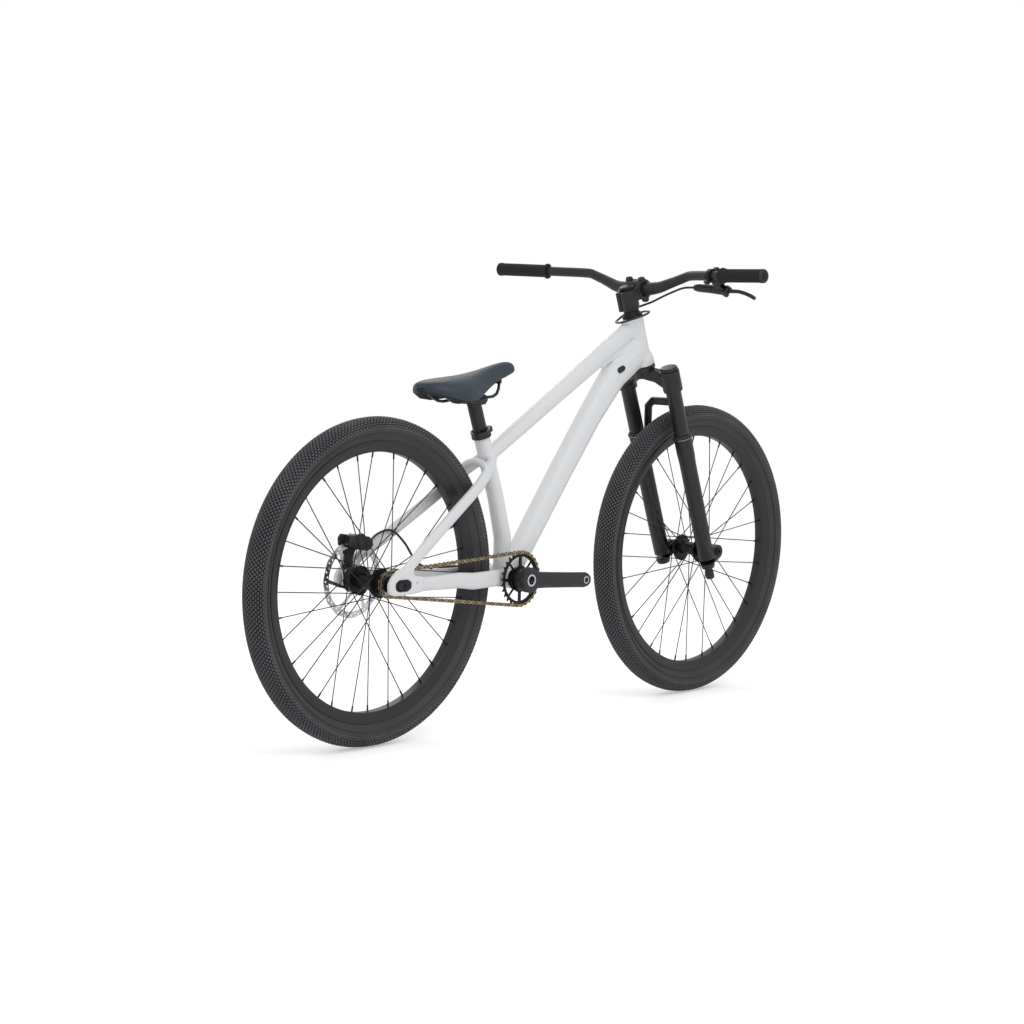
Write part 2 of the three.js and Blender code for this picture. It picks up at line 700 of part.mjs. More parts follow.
// The driver turns the wheel through pawls and freewheels back; the sprocket sits on its outer end.
function driver() {
  place(wheelParts, 'driver_body', turned([
    [rearAxleRadius + sleeveWall + gap, driverOuter], [driverRadius, driverOuter], [driverRadius, -chainLine - toothHalf - gap],
    [driverRadius, -chainLine + toothHalf + gap], [driverLipRadius, -chainLine + toothHalf + gap],
    [driverLipRadius, driverInner], [rearAxleRadius + sleeveWall + gap, driverInner]], hubSegments), anodised);
  place(wheelParts, 'rear_sprocket', plate(toothOutline(sprocketTeeth, Math.PI - chainTilt), -chainLine - toothHalf,
    -chainLine + toothHalf, [circle(driverRadius + gap, hubSegments)]), steel);
}

// The pins' places, as [x, z], in order round the loop, from the rear axle.
function chainPins() {
  const pins = [];
  const axis = [Math.cos(chainTilt), -Math.sin(chainTilt)];
  const inPlane = (along, up) => [along * axis[0] - up * axis[1], along * axis[1] + up * axis[0]];
  for (let i = 0; i < ringPins; i += 1) {
    const angle = ringLastAngle * (1 - 2 * i / (ringPins - 1));
    pins.push(inPlane(chainstayLength + ringRadius * Math.cos(angle), ringRadius * Math.sin(angle)));
  }
  const run = (up) => {
    const from = [chainstayLength + ringRadius * Math.cos(ringLastAngle), ringRadius * Math.sin(ringLastAngle)];
    const to = [-sprocketRadius * Math.cos(sprocketLastAngle), sprocketRadius * Math.sin(sprocketLastAngle)];
    const points = [];
    for (let i = 1; i < runPitches; i += 1) {
      const share = i / runPitches;
      points.push(inPlane(from[0] + (to[0] - from[0]) * share, up * (from[1] + (to[1] - from[1]) * share)));
    }
    return points;
  };
  pins.push(...run(-1));
  for (let i = 0; i < sprocketPins; i += 1) {
    const angle = sprocketLastAngle * (1 - 2 * i / (sprocketPins - 1));
    pins.push(inPlane(-sprocketRadius * Math.cos(angle), -sprocketRadius * Math.sin(angle)));
  }
  pins.push(...run(1).reverse());
  return pins;
}

// The chain is one loop of blocks at the pins, each a roller between the ends of two pairs of plates, with plates
// between them that lie further in and further out by turns.
function chain() {
  const pins = chainPins();
  const tall = linkHigh / 2;
  const points = [];
  const index = [];
  const quad = (a, b, c, d) => index.push(a, b, c, a, c, d);
  pins.forEach(([x, z], i) => {
    const next = pins[(i + 1) % pins.length];
    const last = pins[(i + pins.length - 1) % pins.length];
    for (const [[otherX, otherZ], way, turn] of [[last, -1, i + 1], [next, 1, i]]) {
      const length = Math.hypot(otherX - x, otherZ - z);
      const [alongX, alongZ] = [way * (otherX - x) / length, way * (otherZ - z) / length];
      const near = turn % 2 === 0 ? innerPlateFace : innerPlateFace + linkThick;
      const far = near + linkThick;
      for (const up of [tall, -tall]) {
        for (const y of [-far, -near, near, far]) {
          points.push(point(x + alongX * rollerHalf * way - alongZ * up, y - chainLine,
            z + alongZ * rollerHalf * way + alongX * up));
        }
      }
    }
  });
  pins.forEach((pin, i) => {
    const behind = i * 16;
    const ahead = behind + 8;
    const next = (i + 1) % pins.length * 16;
    for (const k of [0, 1, 2]) {
      quad(behind + k, ahead + k, ahead + k + 1, behind + k + 1);
      quad(behind + 4 + k, behind + 5 + k, ahead + 5 + k, ahead + 4 + k);
    }
    quad(behind + 3, ahead + 3, ahead + 7, behind + 7);
    quad(behind, behind + 4, ahead + 4, ahead);
    quad(ahead + 1, ahead + 5, ahead + 6, ahead + 2);
    quad(behind + 1, behind + 2, behind + 6, behind + 5);
    for (const a of [0, 2]) {
      quad(ahead + a, next + a, next + a + 1, ahead + a + 1);
      quad(ahead + 4 + a, ahead + 5 + a, next + 5 + a, next + 4 + a);
      quad(ahead + a + 1, next + a + 1, next + a + 5, ahead + a + 5);
      quad(ahead + a, ahead + a + 4, next + a + 4, next + a);
    }
  });
  place(wheelParts, 'chain', indexed(points, index), bronze);
}

// Frame
const crownRaceRise = 9.5;
const headTubeLow = axleToCrown + crownRaceRise;
const headTubeHigh = headTubeLow + headTubeLength;
const headTubeRadius = 24;
const headTubeWaist = 23;
const lowerCupRadius = 29;
const headTubeBore = 18.5;
const upperSeatRadius = 21.2;
const lowerSeatRadius = 26.3;
const headBearingWidth = 7;
const headCupLength = 16;
const steererRadius = 14.3;
const steererFootRadius = 19.9;
const steererWall = 2.4;
const tubeWall = 2.4;
const seatTubeRadius = 17.5;
const seatTubeFootRadius = 19;
const seatPostRadius = 15.45;
const seatPostSeatLength = 150;
const seatTubeKneeRise = 83;
const seatTubeFootBack = 3.3;
const topTubeDrop = 61;
const topTubeHigh = 18.5;
const downTubeHigh = 28;
const downTubeFootForward = 13;
const chainstayHigh = 19;
const chainstayWide = 8;
const seatstayHigh = 13.5;
const seatstayWide = 8;
const bridgeHigh = 9;
const dropoutBack = 29;
const dropoutBelow = 20;
const windowBack = 13;
const windowForward = 33;
const windowHalf = 11.5;
const tubeSides = 12;
const staySides = 8;
const topJointShare = 0.81;
const downJointShare = 0.3;
const wideShare = 0.88;

function headAxisAt(share) {
  return onSteering(0, 0, headTubeLow + headTubeLength * share);
}

// Stations along a line, each with its share of the way, its bow off the line, and its half height and half width.
function bowed(from, to, high, wide, shares, offset = 0) {
  const chord = to.clone().sub(from);
  const length = chord.length();
  const bowWay = point(-chord.z, 0, chord.x).normalize();
  return shares.map(([along, bow, highShare, wideShares]) => {
    const at = from.clone().addScaledVector(chord, along).addScaledVector(bowWay, bow * length);
    return station(at, wide * wideShares - offset, high * highShare - offset);
  });
}

const topTubeShares = [[-0.01, 0, 0.86, 0.8], [0.2, 0, 0.91, 0.94], [0.5, 0, 1, 0.98], [0.8, 0, 1.17, 0.96],
  [1, 0, 1.24, 0.94]];
const downTubeShares = [[0, 0, 0.82, 0.95], [0.16, 0.011, 0.87, 0.95], [0.4, 0.03, 0.92, 0.95],
  [0.65, 0.046, 0.96, 0.96], [0.84, 0.047, 1.14, 1], [1, 0.004, 1.21, 0.97]];
const chainstayShares = [[0.04, 0, 0.34, 1, 1], [0.133, 0.25, 0.455, 1, 0.94], [0.195, 0.25, 0.497, 1, 0.84],
  [0.363, 0.3, 0.597, 1, 0.94], [0.49, 0.65, 0.675, 0.92, 1], [0.66, 0.75, 0.79, 0.85, 1],
  [0.837, 0.88, 0.915, 0.79, 1], [0.97, 1, 1, 0.68, 0.62]];
const seatstayShares = [[0.01, 0.07, 1, 0.86, 0.62], [0.06, 0.118, 1.004, 0.9, 0.66], [0.144, 0.205, 0.968, 0.95, 0.9],
  [0.263, 0.303, 0.86, 1, 1], [0.56, 0.557, 0.675, 1, 1], [0.722, 0.697, 0.584, 1, 1],
  [0.808, 0.773, 0.532, 1, 1], [0.898, 0.87, 0.442, 1, 1], [0.976, 0.95, 0.286, 1, 1], [1.04, 1.03, 0.104, 1, 0.9]];
const dropoutMiddle = rearDropoutHalf + dropoutThick / 2;

function topTube(offset) {
  return loft(bowed(belowSeatTop(topTubeDrop), headAxisAt(topJointShare), topTubeHigh, topTubeHigh * wideShare,
    topTubeShares, offset), tubeSides, undefined, 2.3);
}

function downTubeFoot() {
  return bracket.clone().add(point(downTubeFootForward, 0, 0));
}

function downTube(offset) {
  return loft(bowed(downTubeFoot(), headAxisAt(downJointShare), downTubeHigh, downTubeHigh * wideShare,
    downTubeShares, offset), tubeSides, undefined, 2.5);
}

function seatTube(offset, top, topRadius) {
  const knee = bracket.clone().add(point(-seatTubeFootBack, 0, seatTubeKneeRise));
  const foot = bracket.clone().add(point(-seatTubeFootBack, 0, 0));
  const bend = belowSeatTop(seatPostSeatLength);
  return loft([station(foot, seatTubeFootRadius - offset), station(knee, seatTubeFootRadius - offset),
    station(bend, seatTubeRadius - offset), station(top, topRadius)], tubeSides);
}

function chainstay(side) {
  const stations = chainstayShares.map(([along, rise, spread, highShare, wideShares]) => station(
    point(bracket.x - bracketForward * along, side * dropoutMiddle * spread, bracket.z + bracketDrop * rise),
    chainstayWide * wideShares, chainstayHigh * highShare));
  return loft(stations, staySides, undefined, 2.6);
}

function seatstay(side) {
  const target = belowSeatTop(topTubeDrop);
  const stations = seatstayShares.map(([along, rise, spread, highShare, wideShares]) => station(
    point(rearAxle.x + (target.x - rearAxle.x) * along, side * dropoutMiddle * spread,
      rearAxle.z + (target.z - rearAxle.z) * rise),
    seatstayWide * wideShares, seatstayHigh * highShare));
  return loft(stations, staySides, undefined, 2.6);
}

// The stays are joined over the tyre by an arched bridge.
const bridgeShares = [[0.9, 0.916, 0.44], [0.902, 0.95, 0.25], [0.907, 0.969, 0], [0.902, 0.95, -0.25],
  [0.9, 0.916, -0.44]];
function stayBridge() {
  const target = belowSeatTop(topTubeDrop);
  return loft(bridgeShares.map(([along, rise, spread]) => station(
    point(rearAxle.x + (target.x - rearAxle.x) * along, dropoutMiddle * spread,
      rearAxle.z + (target.z - rearAxle.z) * rise), bridgeHigh, bridgeHigh)), 8, point(1, 0, 0));
}

const dropoutShares = [[-1, 0.3], [-1, -0.5], [-0.8, -0.85], [-0.3, -1], [1.4, -0.95], [2.34, -0.8], [2.34, 0.7],
  [1.5, 0.9], [1.3, 1.15], [1.4, 1.7], [0.5, 1.85], [-0.2, 1.55], [-0.75, 0.9]];

function scaled(shares, width, height, x = 0, z = 0) {
  return shares.map(([a, b]) => [x + a * width, z + b * height]);
}

function windowOutline(shrink) {
  const half = (windowBack + windowForward) / 2;
  return slot(half - shrink, windowHalf - shrink, 3, (windowForward - windowBack) / 2, 0, 0);
}

function frame() {
  const additions = [
    turned([[0, -bracketHalf], [bracketRadius, -bracketHalf], [bracketRadius, bracketHalf], [0, bracketHalf]], roundSides)
      .translate(bracket.x, bracket.y, bracket.z),
    topTube(0), downTube(0), seatTube(0, seatTop, seatTubeRadius), stayBridge()];
  const cuts = [
    turned([[0, -bracketHalf - overrun], [bracketBore, -bracketHalf - overrun], [bracketBore, bracketHalf + overrun],
      [0, bracketHalf + overrun]], roundSides).translate(bracket.x, bracket.y, bracket.z),
    topTube(tubeWall), downTube(tubeWall),
    seatTube(tubeWall, seatTop.clone().addScaledVector(seatUp, overrun), seatTubeRadius - tubeWall),
    moved(turnedUp(ring(0, seatPostRadius + gap, -seatPostSeatLength, overrun), roundSides)
      .rotateY(seatAngle - Math.PI / 2), seatTop)];
  for (const side of [-1, 1]) {
    additions.push(chainstay(side), seatstay(side));
    const inner = side > 0 ? rearDropoutHalf : -rearDropoutHalf - dropoutThick;
    const outline = scaled(dropoutShares, dropoutBack, dropoutBelow);
    additions.push(moved(plate(outline, inner, inner + dropoutThick), rearAxle.clone().setY(0)));
    cuts.push(moved(plate(windowOutline(0), inner - overrun, inner + dropoutThick + overrun), rearAxle.clone().setY(0)));
    cuts.push(moved(plate(circle(eyeletRadius, 8, eyeletForward, eyeletRise), inner - overrun,
      inner + dropoutThick + overrun), rearAxle.clone().setY(0)));
  }
  const head = turnedUp([[0, 0], [lowerCupRadius, 0], [lowerCupRadius, headCupLength],
    [headTubeWaist, headCupLength * 2], [headTubeWaist, headTubeLength - headCupLength * 2],
    [headTubeRadius, headTubeLength - headCupLength], [headTubeRadius, headTubeLength], [0, headTubeLength]], roundSides);
  const hollow = turnedUp([[0, -overrun], [lowerSeatRadius, -overrun], [lowerSeatRadius, headBearingWidth],
    [bore(steererFootRadius), headBearingWidth], [bore(steererFootRadius), headCupLength * 2],
    [headTubeBore, headCupLength * 3], [headTubeBore, headTubeLength - headBearingWidth],
    [upperSeatRadius, headTubeLength - headBearingWidth], [upperSeatRadius, headTubeLength + overrun],
    [0, headTubeLength + overrun]], roundSides);
  const lean = headAngle - Math.PI / 2;
  additions.push(moved(head.rotateY(lean), onSteering(0, 0, headTubeLow)));
  cuts.push(moved(hollow.rotateY(lean), onSteering(0, 0, headTubeLow)));
  const facing = turnedUp(ring(0, lowerCupRadius * 1.2, -headCupLength, 0), roundSides);
  cuts.push(moved(facing.rotateY(lean), onSteering(0, 0, headTubeLow)));
  cuts.push(hosePort(0), stayPort(0));
  place(part, 'frame', carve(additions, cuts), whitePaint);
}

const eyeletRadius = 2.6;
const eyeletForward = 49;
const eyeletRise = 3;
const portShare = 0.86;
const portBowShare = 0.062;
const portHalfLength = 13;
const portHalfHeight = 6.5;
const stayPortShare = 0.43;
const stayPortSpreadShare = 0.638;
const stayPortRiseShare = 0.48;
const stayPortHighShare = 0.96;
const stayPortHalf = 8;
const stayPortHalfWide = 3.2;
const grommetProud = 1.2;

// A slanted slot through both sides of the down tube.
function hosePortPlace() {
  const from = downTubeFoot();
  const chord = headAxisAt(downJointShare).sub(from);
  const bowWay = point(-chord.z, 0, chord.x);
  return from.clone().addScaledVector(chord, portShare).addScaledVector(bowWay, portBowShare);
}

function hosePort(shrink) {
  const at = hosePortPlace();
  const ahead = headAxisAt(downJointShare).sub(at);
  const slope = Math.atan2(ahead.z, ahead.x);
  return moved(plate(slot(portHalfLength - shrink, portHalfHeight - shrink, 4, 0, 0, slope), -downTubeHigh * 2,
    downTubeHigh * 2), at);
}

// A slot in the top of the left chainstay.
function stayPortTop() {
  return point(bracket.x - bracketForward * stayPortShare, dropoutMiddle * stayPortSpreadShare,
    bracket.z + bracketDrop * stayPortRiseShare + chainstayHigh * stayPortHighShare);
}

function stayPort(shrink) {
  const at = stayPortTop().setZ(bracket.z);
  return moved(slab(slot(stayPortHalf - shrink, stayPortHalfWide - shrink, 3, 0, 0, 0), 0, chainstayHigh * 2), at);
}

// Rubber plugs fill the down tube's two ports and stand slightly proud of it.
function hoseGrommets() {
  const wall = solid(downTube(-grommetProud)).subtract(solid(downTube(tubeWall)));
  for (const [side, name] of [[-1, 'port_plug'], [1, 'hose_grommet']]) {
    const half = slab([[-wheelbase, 0], [wheelbase, 0], [wheelbase, side * downTubeHigh * 2],
      [-wheelbase, side * downTubeHigh * 2]], 0, wheelbase);
    place(part, name, geometryOf(wall.intersect(solid(hosePort(gap))).intersect(solid(half))), rubber);
  }
}

// Black blocks fill the windows of the dropouts and hold the axle.
function dropoutInserts() {
  for (const [side, name] of [[-1, 'right_dropout_insert'], [1, 'left_dropout_insert']]) {
    const inner = side > 0 ? rearDropoutHalf : -rearDropoutHalf - dropoutThick;
    const block = plate(windowOutline(gap), inner, inner + dropoutThick, [circle(rearAxleRadius + gap, 12)]);
    place(part, name, moved(block, rearAxle), blackMetal);
  }
}

const collarThick = 3.4;
const collarHigh = 15;
const collarEar = 9;
const collarSlit = 2;

// A collar round the top of the seat tube, with two ridges, and ears that a bolt draws together.
function seatCollar() {
  const inner = bore(seatTubeRadius);
  const outer = inner + collarThick;
  const ridge = collarThick / 3;
  const lean = seatAngle - Math.PI / 2;
  const band = turnedUp([[inner, 0], [outer, 0], [outer, collarHigh / 4], [outer - ridge, collarHigh / 2],
    [outer, collarHigh * 3 / 4], [outer, collarHigh], [inner, collarHigh]], roundSides);
  const ear = slab([[inner + ridge, -collarEar], [outer + collarEar, -collarEar * 2 / 3],
    [outer + collarEar, collarEar * 2 / 3], [inner + ridge, collarEar]], collarHigh / 8, collarHigh * 7 / 8);
  const slit = slab([[inner / 2, -collarSlit / 2], [outer + collarEar * 2, -collarSlit / 2],
    [outer + collarEar * 2, collarSlit / 2], [inner / 2, collarSlit / 2]], -overrun, collarHigh + overrun);
  const at = belowSeatTop(collarHigh - gap);
  place(part, 'seat_collar', moved(carve([band, ear], [slit]).rotateY(lean), at), anodised);
}

// Fork and steering. These stand in the steering group, whose Z runs up the steering axis from the axle's level.
const forkLegSpread = 65.5;
const forkLegForward = 11;
const lowerLegRadius = 20.5;
const lowerLegLow = -28;
const lowerLegHigh = 292;
const lowerLegFloor = 12;
const stanchionRadius = 17.5;
const stanchionWall = 3;
const stanchionLow = 120;
const stanchionHigh = 456;
const crownClusterRadius = 22.5;
const crownClusterLow = 409;
const crownClusterHigh = 458;
const crownMiddleHalf = 9;
const crownDepth = 21;
const lugRadius = 16;
const lugInner = 52;
const archRise = 74;
const archForward = 25;
const archHalf = 7;
const sealHigh = 11;
const capHigh = 8;
const knobRadius = 10;
const knobHigh = 27;

function steeringPart(name, geometry, finish) {
  return place(steering, name, geometry, finish);
}

function leg(side, profile, segments = roundSides) {
  return turnedUp(profile, segments).translate(forkLegForward, side * forkLegSpread, 0);
}

// Shares of the legs' spread, of the arch's rise and of its reach ahead of the legs, from one leg over to the other.
const archShares = [[0.94, -0.25, 0.5], [0.9, -0.02, 1.2], [0.8, 0.4, 1.25], [0.64, 0.85, 1.2], [0.38, 1.04, 1.15],
  [-0.38, 1.04, 1.15], [-0.64, 0.85, 1.2], [-0.8, 0.4, 1.25], [-0.9, -0.02, 1.2], [-0.94, -0.25, 0.5]];

function forkLowers() {
  const additions = [];
  const cuts = [];
  for (const side of [-1, 1]) {
    additions.push(leg(side, [[0, lowerLegLow], [lowerLegRadius * 0.72, lowerLegLow],
      [lowerLegRadius * 0.86, lowerLegLow + lowerLegFloor], [lowerLegRadius * 0.93, lowerLegHigh / 4],
      [lowerLegRadius * 0.93, lowerLegHigh * 0.8], [lowerLegRadius, lowerLegHigh * 0.88],
      [lowerLegRadius, lowerLegHigh + sealHigh * 0.7], [stanchionRadius + gap * 4, lowerLegHigh + sealHigh],
      [0, lowerLegHigh + sealHigh]]));
    cuts.push(leg(side, ring(0, stanchionRadius + gap, lowerLegLow + lowerLegFloor, crownClusterLow)));
    const outer = forkLegSpread + lowerLegRadius * lugOuterShare;
    const ends = side > 0 ? [lugInner, outer] : [-outer, -lugInner];
    const lug = [...arc(lugRadius, -Math.PI / 2, Math.PI / 2, 7, forkOffset, 0),
      [forkLegForward, lugRadius * 1.6], [forkLegForward - lugRadius / 2, lugRadius * 1.2],
      [forkLegForward - lugRadius / 2, -lugRadius], [forkLegForward, -lugRadius * 1.2]];
    additions.push(plate(lug, ends[0], ends[1]));
    cuts.push(plate(circle(frontAxleRadius + gap, 16, forkOffset, 0), ends[0] - overrun, ends[1] + overrun));
  }
  const arch = archShares.map(([spread, rise, ahead]) => station(
    point(forkLegForward + archForward * ahead, forkLegSpread * spread, lowerLegHigh + archRise * rise),
    archHalf, archHalf * 1.3));
  additions.push(loft(arch, 8, point(1, 0, 0), 2.6));
  steeringPart('fork_lowers', carve(additions, cuts), blackPaint);
}

// Each stanchion carries its own cap, and is seated in the crown.
function forkLegs() {
  for (const [side, name] of [[-1, 'right_stanchion'], [1, 'left_stanchion']]) {
    const inner = stanchionRadius - stanchionWall;
    const capRadius = crownClusterRadius - gap * 8;
    const capLow = crownClusterHigh + gap;
    steeringPart(name, leg(side, [[0, stanchionHigh], [inner, stanchionHigh], [inner, stanchionLow],
      [stanchionRadius, stanchionLow], [stanchionRadius, capLow], [capRadius, capLow],
      [capRadius, capLow + capHigh * 0.7], [capRadius * 0.9, capLow + capHigh], [0, capLow + capHigh]]), anodised);
  }
  const top = lowerLegLow - gap;
  const knob = leg(-1, [[0, top - knobHigh], [knobRadius * 0.85, top - knobHigh], [knobRadius, top - knobHigh * 0.9],
    [knobRadius, top - knobHigh * 0.3], [knobRadius * 0.8, top - knobHigh * 0.2], [knobRadius * 0.8, top], [0, top]], 16);
  steeringPart('rebound_knob', knob, anodised);
}

const crownShares = [[1, 0, 0.96, 1], [0.85, 0.1, 0.86, 1.04], [0.5, 0.6, 0.58, 1], [0, 1, 0.45, 1.2]];

// The crown's arms run down from the steerer to a sleeve round each leg.
function forkCrown() {
  const additions = [];
  const cuts = [];
  const middle = axleToCrown - crownMiddleHalf;
  const sleeve = (crownClusterLow + crownClusterHigh) / 2;
  const half = (crownClusterHigh - crownClusterLow) / 2;
  for (const side of [-1, 1]) {
    additions.push(leg(side, [[0, crownClusterLow], [crownClusterRadius - gap * 4, crownClusterLow],
      [crownClusterRadius, crownClusterLow + gap * 8], [crownClusterRadius, crownClusterHigh], [0, crownClusterHigh]]));
    cuts.push(leg(side, ring(0, stanchionRadius + gap, crownClusterLow - overrun, crownClusterHigh + overrun)));
    additions.push(loft(crownShares.map(([spread, rise, highShare, depthShare]) => station(
      point(forkLegForward * spread, side * forkLegSpread * spread, sleeve + (middle - sleeve) * rise),
      crownDepth * depthShare * 0.86, half * highShare)), 8, point(1, 0, 0), 2.8));
  }
  additions.push(turnedUp([[0, middle - crownMiddleHalf], [crownDepth * 1.2, middle - crownMiddleHalf / 2],
    [lowerCupRadius - gap * 4, axleToCrown], [lowerCupRadius, axleToCrown + gap * 8],
    [lowerCupRadius, headTubeLow - gap], [0, headTubeLow - gap]], roundSides));
  cuts.push(turnedUp(ring(0, steererFootRadius + gap, middle - crownMiddleHalf * 3, headTubeLow + overrun), roundSides));
  steeringPart('fork_crown', carve(additions, cuts), blackPaint);
}

const coverRadius = 23.5;
const coverHigh = 11;
const spacerHigh = 8;
const spacerRadius = 17.6;
const stemClampHigh = 46;
const stemClampRadius = 21;
const barReach = 35;
const barClampRadius = 23;
const barClampHalf = 23;
const barClampRise = 33;
const barRadius = 15.9;
const gripBarRadius = 11.1;
const barWall = 2.2;
const topCapHigh = 6;

function steeringColumn() {
  const steererTop = headTubeHigh + coverHigh + spacerHigh + stemClampHigh - gap * 4;
  const foot = axleToCrown - crownMiddleHalf * 2;
  steeringPart('steerer_tube', turnedUp([
    [steererRadius - steererWall, steererTop], [steererRadius - steererWall, headTubeLow + headCupLength * 3],
    [steererFootRadius - steererWall * 1.5, headTubeLow], [steererFootRadius - steererWall * 1.5, foot],
    [steererFootRadius, foot], [steererFootRadius, headTubeLow + headCupLength],
    [steererRadius, headTubeLow + headCupLength * 3.4], [steererRadius, steererTop]], roundSides), blackMetal);
  const upper = bearingRing(bore(steererRadius), upperSeatRadius - gap, headTubeHigh - headBearingWidth + gap, headTubeHigh);
  const lower = bearingRing(bore(steererFootRadius), lowerSeatRadius - gap, headTubeLow, headTubeLow + headBearingWidth - gap);
  steeringPart('headset_upper_bearing', upper.rotateX(Math.PI / 2), steel);
  steeringPart('headset_lower_bearing', lower.rotateX(Math.PI / 2), steel);
  const cover = headTubeHigh + gap;
  steeringPart('headset_cover', turnedUp([[steererRadius + gap, cover], [coverRadius, cover],
    [coverRadius, cover + coverHigh / 3], [spacerRadius, cover + coverHigh - gap],
    [spacerRadius, cover + coverHigh + spacerHigh - gap], [steererRadius + gap, cover + coverHigh + spacerHigh - gap]],
  roundSides), anodised);
}

// The stem clamps the steerer behind and the handlebar in front, where a faceplate closes it.
function stem() {
  const low = headTubeHigh + coverHigh + spacerHigh + gap;
  const high = low + stemClampHigh;
  const barLevel = low + barClampRise;
  const across = (radius, half) => turned(ring(0, radius, -half, half), roundSides).translate(barReach, 0, barLevel);
  const block = slab([[0, -stemClampRadius], [barReach, -barClampHalf], [barReach, barClampHalf],
    [0, stemClampRadius]], barLevel - barClampRadius * 0.7, barLevel + barClampRadius * 0.5);
  const ears = [];
  for (const side of [-1, 1]) {
    for (const level of [-1, 1]) {
      const y = side * (barClampHalf - boltEarHalf);
      const z = barLevel + level * (barRadius + boltEarHalf * 1.2);
      ears.push(plate(circle(boltEarHalf * 1.3, 6, 0, z), y - boltEarHalf, y + boltEarHalf).translate(barReach, 0, 0));
    }
  }
  const frontCut = slab([[barReach - gap * 2, -barClampHalf * 2], [barReach * 3, -barClampHalf * 2],
    [barReach * 3, barClampHalf * 2], [barReach - gap * 2, barClampHalf * 2]], low - stemClampHigh, high + stemClampHigh);
  const rearCut = slab([[-barReach * 3, -barClampHalf * 2], [barReach + gap * 2, -barClampHalf * 2],
    [barReach + gap * 2, barClampHalf * 2], [-barReach * 3, barClampHalf * 2]], low - stemClampHigh, high + stemClampHigh);
  const sleeve = turnedUp(ring(0, stemClampRadius, low, high), roundSides);
  const steererBore = turnedUp(ring(0, steererRadius + gap, low - overrun, high + overrun), roundSides);
  const pinchLugs = slab([[-stemClampRadius - pinchReach, -pinchHalf], [0, -pinchHalf], [0, pinchHalf],
    [-stemClampRadius - pinchReach, pinchHalf]], low + gap * 4, high - gap * 4);
  const pinchSlit = slab([[-stemClampRadius * 2, -pinchSlitHalf], [0, -pinchSlitHalf], [0, pinchSlitHalf],
    [-stemClampRadius * 2, pinchSlitHalf]], low - overrun, high + overrun);
  const barBore = across(bore(barRadius), barClampHalf + overrun);
  const clampBody = across(barClampRadius, barClampHalf);
  const capSeat = turnedUp(ring(0, stemClampRadius, high, high + stemClampHigh), roundSides);
  steeringPart('stem', carve([sleeve, block, clampBody, pinchLugs, ...ears],
    [steererBore, barBore, frontCut, pinchSlit, capSeat]), blackPaint);
  steeringPart('stem_faceplate', carve([clampBody, ...ears], [barBore, rearCut]), blackPaint);
  const cap = high + gap;
  steeringPart('stem_top_cap', turnedUp([[0, cap - stemClampHigh / 4], [steererRadius - steererWall - gap,
    cap - stemClampHigh / 4], [steererRadius - steererWall - gap, cap], [stemClampRadius * 0.85, cap],
    [stemClampRadius * 0.85, cap + topCapHigh * 0.6], [stemClampRadius * 0.7, cap + topCapHigh], [0, cap + topCapHigh]],
  roundSides), anodised);
  return barLevel;
}

const boltEarHalf = 5.5;
const pinchReach = 7;
const pinchHalf = 11;
const pinchSlitHalf = 1.2;

// Half the handlebar's width, its rise and its back sweep, with the shares of each at the stations from the middle.
const barHalfWidth = 374;
const barRise = 50;
const barSweep = 46;
const barBendForward = 16;
const barShares = [[0, 0, 0, 1], [0.075, 0, 0, 1], [0.163, 0.08, 0.2, 0.84], [0.27, 0.32, 0.7, 0.72], [0.383, 0.588, 1, 0.698],
  [1, 1, 1, 0.698]];

// A point on the handlebar's centreline, by its share of the half width.
function barStations(barLevel, offset) {
  const half = barShares.map(([out, rise, ahead, size], i) => {
    const beyond = Math.max(0, (out - barShares[4][0]) / (1 - barShares[4][0]));
    const forward = barReach + barBendForward * ahead - barSweep * beyond;
    return [forward, barHalfWidth * out, barLevel + barRise * rise, barRadius * size - offset];
  });
  const right = half.slice(1).reverse().map(([x, y, z, r]) => station(point(x, -y, z), r));
  const left = half.map(([x, y, z, r]) => station(point(x, y, z), r));
  return [...right, ...left];
}

function onBar(barLevel, side, distance) {
  const stations = barStations(barLevel, 0);
  const inner = side > 0 ? stations[stations.length - 2].at : stations[1].at;
  const outer = side > 0 ? stations[stations.length - 1].at : stations[0].at;
  const share = (distance - Math.abs(inner.y)) / (Math.abs(outer.y) - Math.abs(inner.y));
  return inner.clone().lerp(outer, share);
}

// Turns a piece made about Y so that its Y runs out along the handlebar.
function alongBar(geometry, barLevel, side, distance) {
  const at = onBar(barLevel, side, distance);
  const way = onBar(barLevel, side, barHalfWidth).sub(onBar(barLevel, side, barHalfWidth / 2)).normalize();
  const turn = new THREE.Quaternion().setFromUnitVectors(point(0, 1, 0), way);
  return moved(geometry.applyQuaternion(turn), at);
}

const gripLength = 128;
const gripRadius = 14.5;
const gripFlange = 17.5;
const gripFlangeLength = 5;
const gripEnd = 5;

